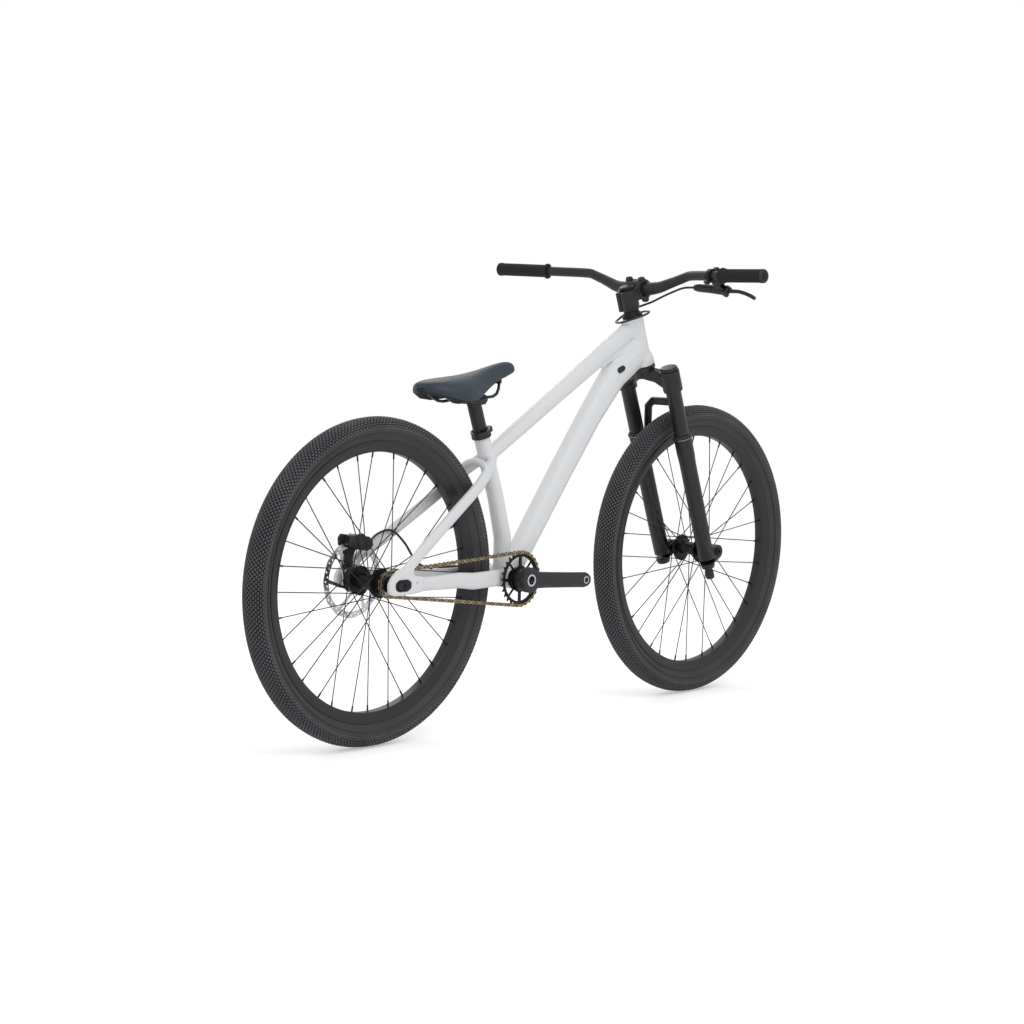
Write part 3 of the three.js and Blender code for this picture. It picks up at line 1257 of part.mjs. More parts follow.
function handlebar(barLevel) {
  const outer = loft(barStations(barLevel, 0), 12, point(1, 0, 0));
  const inside = barStations(barLevel, barWall);
  const stretch = (end, before) => end.at.addScaledVector(end.at.clone().sub(before.at).normalize(), overrun);
  stretch(inside[0], inside[1]);
  stretch(inside[inside.length - 1], inside[inside.length - 2]);
  steeringPart('handlebar', carve([outer], [loft(inside, 8, point(1, 0, 0))]), blackPaint);
  const hole = bore(gripBarRadius);
  for (const [side, name] of [[1, 'left_grip'], [-1, 'right_grip']]) {
    const profile = [[hole, -gripLength], [gripFlange, -gripLength], [gripFlange, gripFlangeLength - gripLength],
      [gripRadius, gripFlangeLength * 1.6 - gripLength], [gripRadius, 0], [gripRadius * 0.97, gripEnd * 0.4],
      [gripRadius * 0.6, gripEnd], [0, gripEnd], [0, gap * 2], [hole, gap * 2]];
    steeringPart(name, alongBar(turned(profile, roundSides), barLevel, side, barHalfWidth), rubber);
  }
}

// The brake lever: a clamp round the bar, a body below and ahead of it, and a blade that swings on a pin.
const clampPlace = 215;
const clampHalf = 7;
const clampOuter = 15.5;
const bodyReach = 46;
const bodyDrop = 0.89;
const bodyAhead = 0.456;
const bodyRadius = 9;
const bodyInner = 68;
const bodyPivotBeyond = 10;
const bodyShares = [[0.54, 1, 0.18, 0.7], [0.6, 0.85, 0.155, 0.95], [0.8, 0.4, 0.07, 1], [0.97, 0, 0.01, 1.1],
  [1.05, -0.147, 0, 1.05]];
const clevisHalf = 9.5;
const clevisGap = 4.2;
const pinRadius = 2.4;
const bladeHalf = 3.6;
const bladeHigh = 6;
const bladeReach = 78;
const bladeShares = [[0, 0, 1.25], [0.13, -0.02, 1.15], [0.5, -0.045, 1.05], [0.7, 0, 1.05], [0.87, 0.085, 1.1],
  [0.93, 0.14, 1.1], [0.97, 0.2, 0.9]];

const leverFrame = new THREE.Group();
steering.add(leverFrame);

// Sets the lever's frame on the handlebar: its Y runs out along the bar, its X points from the bar to the body.
function leverPlacement(barLevel) {
  const at = onBar(barLevel, -1, clampPlace);
  const out = onBar(barLevel, -1, barHalfWidth).sub(onBar(barLevel, -1, barHalfWidth / 2)).normalize();
  const reach = point(bodyAhead, 0, -bodyDrop);
  reach.addScaledVector(out, -reach.dot(out)).normalize();
  const third = reach.clone().cross(out);
  leverFrame.quaternion.setFromRotationMatrix(new THREE.Matrix4().makeBasis(reach, out, third));
  leverFrame.position.copy(at);
}

function brakeLever(barLevel) {
  leverPlacement(barLevel);
  const boreRadius = bore(gripBarRadius);
  const sleeve = (low) => turned(ring(boreRadius, clampOuter, -clampHalf, clampHalf), roundSides).translate(0, low, 0);
  const split = gap / 2;
  const half = (side) => slab([[-side * split, -clampHalf * 4], [side * bodyReach * 2, -clampHalf * 4],
    [side * bodyReach * 2, clampHalf * 4], [-side * split, clampHalf * 4]], -bodyReach, bodyReach);
  const ears = slab([[-clampBoltRadius * 2, -clampHalf], [clampBoltRadius * 2, -clampHalf],
    [clampBoltRadius * 2, clampHalf], [-clampBoltRadius * 2, clampHalf]], -clampOuter - clampEar, clampOuter + clampEar);
  const barHole = turned(ring(0, boreRadius, -clampHalf * 2, clampHalf * 2), roundSides);
  place(leverFrame, 'lever_clamp', carve([sleeve(0), ears], [barHole, half(1)]), anodised);
  const body = loft(bodyShares.map(([ahead, inward, low, size]) => station(
    point(bodyReach * ahead, -bodyInner * inward, bodyInner * low), bodyRadius * size)), 10, point(1, 0, 0), 2.3);
  const neck = slab([[gap, -clampHalf], [bodyReach, -clampHalf * 1.4], [bodyReach, clampHalf * 1.4], [gap, clampHalf]],
    -clampHalf, clampHalf);
  const clevis = slab(circle(clevisHalf, 10, bodyReach * 1.05, bodyPivotBeyond), -clevisHalf, clevisHalf);
  const slotCut = slab([[bodyReach * 0.6, bodyPivotBeyond - clevisHalf - gap], [bodyReach * 1.6,
    bodyPivotBeyond - clevisHalf - gap], [bodyReach * 1.6, bodyPivotBeyond + clevisHalf * 2],
  [bodyReach * 0.6, bodyPivotBeyond + clevisHalf * 2]], -clevisGap, clevisGap);
  const pin = slab(circle(pinRadius, 6, bodyReach * 1.05, bodyPivotBeyond), -clevisHalf, clevisHalf);
  const bodyOf = solid(carve([sleeve(0), ears, neck, body, clevis], [barHole, half(-1), slotCut]));
  place(leverFrame, 'lever_body', geometryOf(bodyOf.add(solid(pin))), blackPaint);
  const pivot = point(bodyReach * 1.05, bodyPivotBeyond, 0);
  const blade = loft(bladeShares.map(([out, hook, thick]) => station(
    pivot.clone().add(point(bladeReach * (hook + out * 0.1), bladeReach * out, 0)), bladeHalf * thick,
    bladeHigh * thick * 0.62)), 10, point(1, 0, 0), 2.6);
  const root = slab(circle(clevisHalf * 0.8, 14, pivot.x, pivot.y), -clevisGap + gap, clevisGap - gap);
  const trim = slab([[pivot.x - clevisHalf * 2, pivot.y - clevisHalf * 2], [pivot.x + clevisHalf * 2,
    pivot.y - clevisHalf * 2], [pivot.x + clevisHalf * 2, pivot.y + clevisHalf], [pivot.x - clevisHalf * 2,
    pivot.y + clevisHalf]], clevisGap - gap, clevisHalf * 2);
  const trimBelow = trim.clone().translate(0, 0, -clevisHalf * 2 - clevisGap + gap);
  const pinHole = slab(circle(pinRadius + gap * 2, 6, pivot.x, pivot.y), -clevisHalf * 2, clevisHalf * 2);
  place(leverFrame, 'brake_lever', carve([blade, root], [trim, trimBelow, pinHole]), blackPaint);
}

const clampBoltRadius = 2;
const clampEar = 7;

// Brake caliper over the rotor, on an adapter clamped beside the dropout.
const caliperRise = 75;
const caliperForward = 13;
const caliperHalfLength = 31;
const caliperHalfHigh = 15;
const caliperInnerY = 41;
const caliperOuterY = 65.9;
const padHalfLength = 13;
const padHalfHigh = 8;
const padThick = 3.6;
const padPlay = 0.5;
const pistonRadius = 10;
const pistonLength = 2.5;
const caliperSlot = 6.2;
const caliperLean = -0.19;
const caliperOutlineShares = [[-1, -0.55], [-0.7, -1], [0.55, -1], [0.85, -0.6], [1, -0.1], [0.9, 0.5], [0.55, 0.95],
  [-0.5, 1], [-0.85, 0.6]];

const caliperFrame = new THREE.Group();
caliperFrame.position.set(caliperForward, 0, caliperRise);
caliperFrame.rotation.y = -caliperLean;
wheelParts.add(caliperFrame);

function caliper() {
  const body = plate(scaled(caliperOutlineShares, caliperHalfLength, caliperHalfHigh), caliperInnerY, caliperOuterY);
  const discCut = plate([[-caliperHalfLength * 2, -caliperHalfHigh * 2], [caliperHalfLength * 2, -caliperHalfHigh * 2],
    [caliperHalfLength * 2, caliperHalfHigh * 0.55], [-caliperHalfLength * 2, caliperHalfHigh * 0.55]],
  rotorY - rotorThick, rotorY + rotorThick);
  const padCut = plate([[-padHalfLength - gap, -caliperHalfHigh * 2], [padHalfLength + gap, -caliperHalfHigh * 2],
    [padHalfLength + gap, padHalfHigh + gap], [-padHalfLength - gap, padHalfHigh + gap]],
  rotorY - caliperSlot, rotorY + caliperSlot);
  const pistonBore = turned(ring(0, pistonRadius + gap, rotorY - caliperSlot - pistonLength, rotorY + caliperSlot + pistonLength), 16);
  const inlet = rod(point(caliperHalfLength * 0.7, hoseInletY, caliperHalfHigh * 0.2), point(caliperHalfLength * 1.25,
    hoseInletY, caliperHalfHigh * 0.55), hoseRadius * 1.9, 10);
  place(caliperFrame, 'brake_caliper', carve([body, inlet], [discCut, padCut, pistonBore]), blackPaint);
  const pads = [['outer_pad', 1], ['inner_pad', -1]];
  for (const [name, side] of pads) {
    const face = rotorThick / 2 + padPlay;
    const flat = [face, face + padThick];
    const back = [face + padThick - gap, caliperSlot + pistonLength - gap * 2];
    const span = (range) => range.map((value) => rotorY + side * value).sort((a, b) => a - b);
    const [low, high] = span(flat);
    const [pistonLow, pistonHigh2] = span(back);
    const pad = plate([[-padHalfLength, -padHalfHigh], [padHalfLength, -padHalfHigh], [padHalfLength, padHalfHigh * 0.6],
      [padHalfLength * 0.7, padHalfHigh], [-padHalfLength * 0.7, padHalfHigh], [-padHalfLength, padHalfHigh * 0.6]],
    low, high);
    place(caliperFrame, name, carve([pad, turned(ring(0, pistonRadius, pistonLow, pistonHigh2), 16)]), bronze);
  }
}

const hoseRadius = 2.5;
const hoseInletY = 60;

// The adapter is clamped by the axle inside the left dropout, and carries the caliper on two bolts.
const adapterShares = [[0.95, -0.6], [1.1, 0], [1, 3.6], [1.6, 4.9], [3.9, 6.2], [4.1, 7.2], [3.5, 7.8], [1.2, 7.6],
  [-1.9, 8.1], [-2.5, 7.4], [-2.4, 6.2], [-1, 4.2], [-1.05, 0], [-0.7, -0.9]];
const adapterUnit = 11.5;
const adapterOuter = rearDropoutHalf - gap;

function caliperMount() {
  const plateOuter = scaled(adapterShares, adapterUnit, adapterUnit);
  const low = adapterOuter - mountThick;
  const body = plate(plateOuter, low, adapterOuter, [circle(rearAxleRadius + gap, 12)]);
  place(wheelParts, 'caliper_mount', body, blackMetal);
}

// Seat post and saddle
const postHeadRise = 73;
const postHeadHalf = 28;
const postInsertion = 135;
const postWall = 2.2;
const railRadius = 3.5;
const railHalfGap = 22;
const railTiltDegrees = 6;
const cradleHalf = 17;
const cradleDeep = 13;
const clampPlateHigh = 7;
const clampBoltPlace = 11;
const saddleBoltRadius = 2.5;
const saddleLength = 280;
const saddleHalfWidth = 67;
const saddleDrop = 50;
const saddleTailBack = 150;
const saddleCrownRise = 65;
const coverThick = 9;
const baseThick = 3;
const baseShow = 2;
const noseBlockHalf = 8.5;
const saddleColumns = 8;

// Rows across the saddle: shares of its length, of half its width, of the crown's rise and of the sides' drop.
const saddleShares = [[0, 0.26, 0.7, 0.34], [0.02, 0.48, 0.77, 0.42], [0.07, 0.72, 0.81, 0.6], [0.17, 0.94, 0.82, 0.86],
  [0.29, 1, 0.81, 1], [0.42, 0.82, 0.8, 0.98], [0.55, 0.56, 0.83, 0.86], [0.68, 0.38, 0.9, 0.72], [0.8, 0.3, 0.97, 0.64],
  [0.9, 0.26, 1, 0.58], [0.96, 0.2, 0.95, 0.46], [1, 0.08, 0.82, 0.24]];
const sideShares = [0.7, 0.75];
const baseReachShare = 0.9;

function saddleRows(inset, extra, reachShare = 1) {
  const rows = [];
  for (const [along, wide, crown, drop] of saddleShares) {
    if (along > reachShare) {
      break;
    }
    const full = saddleHalfWidth * wide;
    const half = Math.max(full - inset, full / 4);
    const top = saddleCrownRise * crown - inset;
    const depth = Math.max(saddleDrop * drop - inset + extra, baseThick);
    const x = Math.min(saddleLength * along, saddleLength - inset * 3 / 2) - saddleTailBack;
    const row = [];
    for (let k = 0; k <= saddleColumns; k += 1) {
      const angle = Math.PI * k / saddleColumns;
      const side = k * 2 === saddleColumns ? 0 : Math.cos(angle);
      const rise = k === 0 || k === saddleColumns ? 0 : Math.sin(angle);
      const y = half * Math.sign(side) * Math.abs(side) ** sideShares[0];
      row.push(point(x, y, top - depth * (1 - rise ** sideShares[1])));
    }
    rows.push(row);
  }
  return rows;
}

const saddleFrame = new THREE.Group();
saddleFrame.position.copy(seatTop.clone().addScaledVector(seatUp, postHeadRise));
saddleFrame.rotation.y = -railTiltDegrees * degree;
part.add(saddleFrame);

// Shares of the saddle's length from the clamp, of the rails' half gap, and of the crown's rise.
const railShares = [[-0.43, 1, 0.42], [-0.38, 1, 0.3], [-0.31, 1, 0.08], [-0.25, 1, 0], [-0.15, 1, 0], [0.05, 1, 0],
  [0.15, 1, 0], [0.21, 0.8, 0.1], [0.26, 0.45, 0.36], [0.28, 0.3, 0.42]];

function rails(radius, sides) {
  const half = (side) => railShares.map(([along, spread, rise]) => point(saddleLength * along,
    side * railHalfGap * spread, saddleCrownRise * rise));
  return hose([...half(-1), ...half(1).reverse()], radius, sides, railShares.length * 3);
}

function saddle() {
  place(saddleFrame, 'saddle_cover', sheet(saddleRows(0, 0), saddleRows(coverThick, 0)), slate);
  const inset = coverThick + gap;
  const shell = sheet(saddleRows(inset, baseShow, baseReachShare), saddleRows(inset + baseThick, baseShow, baseReachShare));
  const inside = solid(skin(saddleRows(inset + baseThick / 2, baseShow, baseReachShare)));
  const boss = (from, to, low) => slab([[saddleLength * from, -saddleHalfWidth], [saddleLength * to, -saddleHalfWidth],
    [saddleLength * to, saddleHalfWidth], [saddleLength * from, saddleHalfWidth]], saddleCrownRise * low,
  saddleCrownRise);
  const bosses = solid(boss(-0.46, -0.39, 0.34)).add(solid(boss(0.25, 0.3, 0.5))).intersect(inside);
  const nose = slab([[saddleLength * 0.255, -noseBlockHalf], [saddleLength * 0.295, -noseBlockHalf],
    [saddleLength * 0.295, noseBlockHalf], [saddleLength * 0.255, noseBlockHalf]], saddleCrownRise * 0.33,
  saddleCrownRise * 0.6);
  const base = solid(shell).add(bosses).add(solid(nose)).subtract(solid(rails(railRadius + gap * 2, 6)));
  place(saddleFrame, 'saddle_base', geometryOf(base), plastic);
  place(saddleFrame, 'saddle_rails', rails(railRadius, 6), steel);
  const grooves = [-1, 1].map((side) => rod(point(-cradleHalf * 2, side * railHalfGap, 0),
    point(cradleHalf * 2, side * railHalfGap, 0), railRadius + gap * 2, 8));
  const holes = [-1, 1].map((side) => slab(circle(saddleBoltRadius + gap, 8, side * clampBoltPlace, 0),
    -cradleDeep * 2, cradleDeep * 2));
  place(saddleFrame, 'saddle_clamp', carve([plate([[-cradleHalf, gap], [cradleHalf, gap],
    [cradleHalf, clampPlateHigh * 0.4], [cradleHalf * 0.6, clampPlateHigh], [-cradleHalf * 0.6, clampPlateHigh],
    [-cradleHalf, clampPlateHigh * 0.4]], -postHeadHalf, postHeadHalf)], [...grooves, ...holes]), anodised);
  const cradle = plate([[-cradleHalf, -gap], [-cradleHalf * 0.9, -cradleDeep * 0.5], [-cradleHalf * 0.5, -cradleDeep],
    [cradleHalf * 0.5, -cradleDeep], [cradleHalf * 0.9, -cradleDeep * 0.5], [cradleHalf, -gap]],
  -postHeadHalf, postHeadHalf);
  const lean = seatAngle - Math.PI / 2 + railTiltDegrees * degree;
  const tubeBottom = -postHeadRise - postInsertion;
  const tube = turnedUp(ring(0, seatPostRadius, tubeBottom, -cradleDeep * 0.6), roundSides).rotateY(lean);
  const bore = turnedUp(ring(0, seatPostRadius - postWall, tubeBottom - overrun, -cradleDeep * 1.4), roundSides).rotateY(lean);
  place(saddleFrame, 'seatpost', carve([cradle, tube], [bore, ...grooves, ...holes]), blackPaint);
}

// Hoses. The rear stretch leaves the caliper, arches over the seat stay's inner side and enters the chainstay.
const rearHoseSteps = 18;
const frontHoseSteps = 56;
const rearHoseRoute = [[62, 59.5, 411.2], [75, 55, 419], [92, 50, 424], [108, 48, 419], [122, 48, 406], [142, 49, 393],
  [168, 52, 384], [195, 53, 377], [216, 51, 367], [223.5, 49.4, 356]];
const frontHoseRoute = [[52, -118, 640], [49, -88, 631], [46, -58, 620], [42, -28, 608], [37, 0, 600], [27, 27, 592],
  [0, 39, 582], [-27, 28, 583], [-39, 0, 588.5], [-28, -27, 594], [0, -39, 594], [27, -28, 591], [39, 2, 585],
  [30, 29, 577], [10, 41, 566], [-6, 43, 550], [-20, 44, 534], [-40, 45, 521], [-58, 43, 514]];

function rearHose() {
  const inletEnd = point(caliperHalfLength * 1.25, hoseInletY, caliperHalfHigh * 0.55);
  const inletStart = point(caliperHalfLength * 0.7, hoseInletY, caliperHalfHigh * 0.2);
  const way = inletEnd.clone().sub(inletStart).normalize();
  caliperFrame.updateMatrix();
  const start = inletEnd.addScaledVector(way, gap).applyMatrix4(caliperFrame.matrix).add(rearAxle);
  const next = start.clone().addScaledVector(way.applyQuaternion(caliperFrame.quaternion), hoseRadius);
  const end = stayPortTop().add(point(0, 0, -tubeWall));
  const route = rearHoseRoute.map(([x, y, z]) => point(x, y, z).add(point(rearAxle.x, 0, 0)));
  const points = [start, next, ...route, end.clone().add(point(0, 0, hoseRadius * 2)), end];
  place(part, 'rear_hose', hose(points, hoseRadius, 8, rearHoseSteps), rubber);
}

// The front stretch leaves the lever, makes one loop round the head of the frame and enters the down tube.
function frontHose() {
  const inward = point(0, -1, 0).applyQuaternion(leverFrame.quaternion);
  const [ahead, inner, low] = bodyShares[0];
  const start = point(bodyReach * ahead, -bodyInner * inner - hoseRadius * 0.6, bodyInner * low)
    .applyQuaternion(leverFrame.quaternion).add(leverFrame.position);
  const points = [start, start.clone().addScaledVector(inward, hoseRadius * 2)];
  points.push(...frontHoseRoute.map(([x, y, z]) => point(x, y, z)));
  const world = points.map((each) => onSteering(each.x, each.y, each.z));
  const port = hosePortPlace();
  const face = downTubeHigh * wideShare * 1.02 + grommetProud;
  world.push(port.clone().setY(face + hoseRadius * 3), port.clone().setY(face + gap));
  place(part, 'front_hose', hose(world, hoseRadius, 8, frontHoseSteps), rubber);
}

frame();
crankset();
driver();
rearWheel();
chain();
hoseGrommets();
dropoutInserts();
seatCollar();
frontWheel();
forkLowers();
forkLegs();
forkCrown();
steeringColumn();
const barLevel = stem();
handlebar(barLevel);
brakeLever(barLevel);
caliper();
caliperMount();
saddle();
rearHose();
frontHose();

export default part;
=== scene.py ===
import json
import math
import bpy
from mathutils import Matrix, Vector


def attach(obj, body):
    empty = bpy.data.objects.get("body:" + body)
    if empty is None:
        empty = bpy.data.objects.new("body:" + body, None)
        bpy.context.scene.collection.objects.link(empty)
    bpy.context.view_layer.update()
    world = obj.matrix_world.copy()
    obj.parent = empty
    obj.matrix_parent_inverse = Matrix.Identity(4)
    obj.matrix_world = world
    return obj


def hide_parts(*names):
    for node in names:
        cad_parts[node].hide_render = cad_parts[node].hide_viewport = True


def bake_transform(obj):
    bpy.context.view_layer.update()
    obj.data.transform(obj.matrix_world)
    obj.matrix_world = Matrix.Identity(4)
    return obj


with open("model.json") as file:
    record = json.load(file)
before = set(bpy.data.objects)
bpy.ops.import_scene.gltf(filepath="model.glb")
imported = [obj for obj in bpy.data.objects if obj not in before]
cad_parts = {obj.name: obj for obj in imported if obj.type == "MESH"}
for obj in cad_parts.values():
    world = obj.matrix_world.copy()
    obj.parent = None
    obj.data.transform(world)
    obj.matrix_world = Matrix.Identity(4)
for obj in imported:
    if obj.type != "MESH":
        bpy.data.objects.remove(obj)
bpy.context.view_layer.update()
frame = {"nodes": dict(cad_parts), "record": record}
nodes = frame["nodes"]
scene = bpy.context.scene
scene.view_settings.view_transform = "Standard"
mm = 0.001

# Camera, as the photograph's: a long lens, low, behind the bike on its right
shot = {"place": (-3.9378, -3.4329, 0.9564), "yaw": 41.853, "pitch": -5.588, "roll": 1.604,
        "lens": 85.25, "sensor": 36, "farthest": 60}


def addCamera():
    yaw, pitch, roll = (math.radians(shot[key]) for key in ("yaw", "pitch", "roll"))
    ahead = Vector((math.cos(pitch) * math.cos(yaw), math.cos(pitch) * math.sin(yaw), math.sin(pitch)))
    right = ahead.cross(Vector((0, 0, 1))).normalized()
    above = right.cross(ahead)
    turnedRight = right * math.cos(roll) + above * math.sin(roll)
    turnedUp = above * math.cos(roll) - right * math.sin(roll)
    bpy.ops.object.camera_add(location=shot["place"])
    camera = bpy.context.object
    turn = Matrix((turnedRight, turnedUp, -ahead)).transposed().to_4x4()
    camera.matrix_world = Matrix.Translation(shot["place"]) @ turn
    camera.data.lens = shot["lens"]
    camera.data.sensor_width = shot["sensor"]
    camera.data.clip_end = shot["farthest"]
    scene.camera = camera


addCamera()
print("camera set")

# Finishes: colour, roughness, metal, grain size per metre, how far colour and roughness wander, bump depth
finishes = {
    "whitePaint": {"colour": (0.80, 0.80, 0.805), "rough": 0.42, "metal": 0, "grain": 900, "wander": 0.015,
                   "bump": 0.00002, "coat": 0.15},
    "satinBlack": {"colour": (0.016, 0.016, 0.018), "rough": 0.42, "metal": 0.1, "grain": 1400,
                   "wander": 0.25, "bump": 0.00003, "coat": 0.1},
    "forgedGrey": {"colour": (0.035, 0.036, 0.040), "rough": 0.48, "metal": 0.3, "grain": 1800, "wander": 0.3,
                   "bump": 0.00004, "coat": 0},
    "anodisedBlack": {"colour": (0.02, 0.02, 0.022), "rough": 0.33, "metal": 0.7, "grain": 1200,
                      "wander": 0.2, "bump": 0.00002, "coat": 0},
    "slickBlack": {"colour": (0.017, 0.016, 0.018), "rough": 0.36, "metal": 0.2, "grain": 700, "wander": 0.1,
                   "bump": 0, "coat": 0.12},
    "tyreRubber": {"colour": (0.040, 0.038, 0.040), "rough": 0.6, "metal": 0, "grain": 600, "wander": 0.3,
                   "bump": 0.0001, "coat": 0},
    "treadFloor": {"colour": (0.006, 0.006, 0.007), "rough": 0.95, "metal": 0, "grain": 600, "wander": 0.3,
                   "bump": 0.0001, "coat": 0},
    "treadBlock": {"colour": (0.090, 0.092, 0.096), "rough": 0.6, "metal": 0, "grain": 900, "wander": 0.45,
                   "bump": 0.0002, "coat": 0},
    "gripRubber": {"colour": (0.011, 0.011, 0.012), "rough": 0.85, "metal": 0, "grain": 420, "wander": 0.3,
                   "bump": 0.0005, "coat": 0},
    "saddleSkin": {"colour": (0.026, 0.038, 0.050), "rough": 0.5, "metal": 0, "grain": 2200, "wander": 0.18,
                   "bump": 0.00008, "coat": 0.05},
    "mouldedBlack": {"colour": (0.018, 0.018, 0.019), "rough": 0.55, "metal": 0, "grain": 2600, "wander": 0.3,
                     "bump": 0.00006, "coat": 0},
    "hoseSheath": {"colour": (0.012, 0.012, 0.013), "rough": 0.3, "metal": 0, "grain": 500, "wander": 0.1,
                   "bump": 0, "coat": 0.2},
    "groundSteel": {"colour": (0.42, 0.42, 0.43), "rough": 0.3, "metal": 1, "grain": 1500, "wander": 0.15,
                    "bump": 0.00003, "coat": 0},
    "brightAlloy": {"colour": (0.72, 0.72, 0.74), "rough": 0.22, "metal": 1, "grain": 900, "wander": 0.08,
                    "bump": 0, "coat": 0},
    "bronzePlate": {"colour": (0.40, 0.31, 0.19), "rough": 0.3, "metal": 0.9, "grain": 1600, "wander": 0.25,
                    "bump": 0.00002, "coat": 0},
    "bronzeInner": {"colour": (0.27, 0.21, 0.13), "rough": 0.36, "metal": 0.85, "grain": 1600, "wander": 0.3,
                    "bump": 0.00002, "coat": 0},
    "darkPin": {"colour": (0.045, 0.04, 0.035), "rough": 0.4, "metal": 0.8, "grain": 1600, "wander": 0.3,
                "bump": 0, "coat": 0},
    "sinteredPad": {"colour": (0.16, 0.12, 0.08), "rough": 0.8, "metal": 0.4, "grain": 2500, "wander": 0.4,
                    "bump": 0.0001, "coat": 0},
}

# Fine grain roughens and bumps a surface, and a slow cloud shifts its colour
grainValues = {"detail": 4, "cloudScale": 14}


def makeFinish(name, values):
    material = bpy.data.materials.new(name)
    material.use_nodes = True
    tree = material.node_tree
    shader = tree.nodes["Principled BSDF"]
    shader.inputs["Metallic"].default_value = values["metal"]
    shader.inputs["Coat Weight"].default_value = values["coat"]
    place = tree.nodes.new("ShaderNodeTexCoord")
    grain = tree.nodes.new("ShaderNodeTexNoise")
    grain.inputs["Scale"].default_value = values["grain"]
    grain.inputs["Detail"].default_value = grainValues["detail"]
    cloud = tree.nodes.new("ShaderNodeTexNoise")
    cloud.inputs["Scale"].default_value = grainValues["cloudScale"]
    tree.links.new(place.outputs["Object"], grain.inputs["Vector"])
    tree.links.new(place.outputs["Object"], cloud.inputs["Vector"])
    tint = tree.nodes.new("ShaderNodeMapRange")
    tint.inputs["To Min"].default_value = 1 - values["wander"]
    tint.inputs["To Max"].default_value = 1 + values["wander"]
    tree.links.new(cloud.outputs["Fac"], tint.inputs["Value"])
    colour = tree.nodes.new("ShaderNodeMix")
    colour.data_type = "RGBA"
    colour.blend_type = "MULTIPLY"
    colour.inputs["Factor"].default_value = 1
    colour.inputs["A"].default_value = (*values["colour"], 1)
    tree.links.new(tint.outputs["Result"], colour.inputs["B"])
    tree.links.new(colour.outputs["Result"], shader.inputs["Base Color"])
    rough = tree.nodes.new("ShaderNodeMapRange")
    rough.inputs["To Min"].default_value = values["rough"] * (1 - values["wander"] / 2)
    rough.inputs["To Max"].default_value = min(1, values["rough"] * (1 + values["wander"] / 2))
    tree.links.new(grain.outputs["Fac"], rough.inputs["Value"])
    tree.links.new(rough.outputs["Result"], shader.inputs["Roughness"])
    if values["bump"]:
        bump = tree.nodes.new("ShaderNodeBump")
        bump.inputs["Distance"].default_value = values["bump"]
        tree.links.new(grain.outputs["Fac"], bump.inputs["Height"])
        tree.links.new(bump.outputs["Normal"], shader.inputs["Normal"])
    return material


finish = {name: makeFinish(name, values) for name, values in finishes.items()}
print("finishes made")

# Which pieces keep their packed form, and the finish that each takes
coats = {
    "satinBlack": ["fork_lowers", "fork_crown", "stem", "stem_faceplate", "lever_body", "brake_lever",
                   "brake_caliper", "caliper_mount", "seatpost", "seat_collar"],
    "forgedGrey": ["right_crank_arm", "left_crank_arm"],
    "anodisedBlack": ["front_hub_shell", "rear_hub_shell", "steerer_tube", "chainring", "lever_clamp",
                      "headset_cover", "stem_top_cap", "front_axle", "rear_axle", "front_hub_spindle",
                      "rear_hub_spindle", "left_bracket_cup", "right_bracket_cup", "left_dropout_insert",
                      "right_dropout_insert", "driver_body", "saddle_clamp"],
    "slickBlack": ["left_stanchion", "right_stanchion", "saddle_rails"],
    "gripRubber": ["left_grip", "right_grip"],
    "mouldedBlack": ["saddle_base", "hose_grommet", "port_plug", "rebound_knob"],
    "hoseSheath": ["front_hose"],
    "groundSteel": ["headset_upper_bearing", "headset_lower_bearing", "rear_left_bearing",
                    "rear_right_bearing", "front_left_bearing", "front_right_bearing", "rear_sprocket",
                    "crank_spindle"],
    "brightAlloy": ["spindle_cap_ring"],
    "sinteredPad": ["inner_pad", "outer_pad"],
}
bodies = frame["record"]["behaviour"]["bodies"]
bodyOf = {node: body for body, members in bodies.items() for node in members}

# Metres and degrees: how near corners join, how wide edges are softened, and how sharp an edge may be for its
# facets to be shaded round
surface = {"join": 0.000004, "edge": 0.0004, "edgeAngle": 48, "edgeSteps": 2, "packedAngle": 38,
           "builtAngle": 35, "relaxedAngle": 50, "discAngle": 30}


def onlySelect(piece):
    bpy.ops.object.select_all(action="DESELECT")
    piece.select_set(True)
    bpy.context.view_layer.objects.active = piece


def coat(piece, material):
    piece.data.materials.clear()
    piece.data.materials.append(material)


def smoothFacets(piece, angle):
    onlySelect(piece)
    bpy.ops.object.shade_smooth_by_angle(angle=math.radians(angle))


# Leaves the piece in edit mode
def joinCorners(piece, reach):
    onlySelect(piece)
    bpy.ops.object.mode_set(mode="EDIT")
    bpy.ops.mesh.select_all(action="SELECT")
    bpy.ops.mesh.remove_doubles(threshold=reach)


def linked(name, data):
    piece = bpy.data.objects.new(name, data)
    scene.collection.objects.link(piece)
    return piece


# The front hose winds between two bodies, so it rides on neither
def seat(piece, node):
    if node != "front_hose":
        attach(piece, bodyOf[node])
    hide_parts(node)


# Forged and moulded pieces have rounder corners than turned ones
cornerOf = {"stem": 0.0022, "stem_faceplate": 0.0016, "brake_caliper": 0.0014, "lever_body": 0.0012,
            "fork_crown": 0.0012, "caliper_mount": 0.001, "brake_lever": 0.0008, "right_crank_arm": 0.0016,
            "left_crank_arm": 0.0016, "seat_collar": 0.0008, "saddle_clamp": 0.0008}


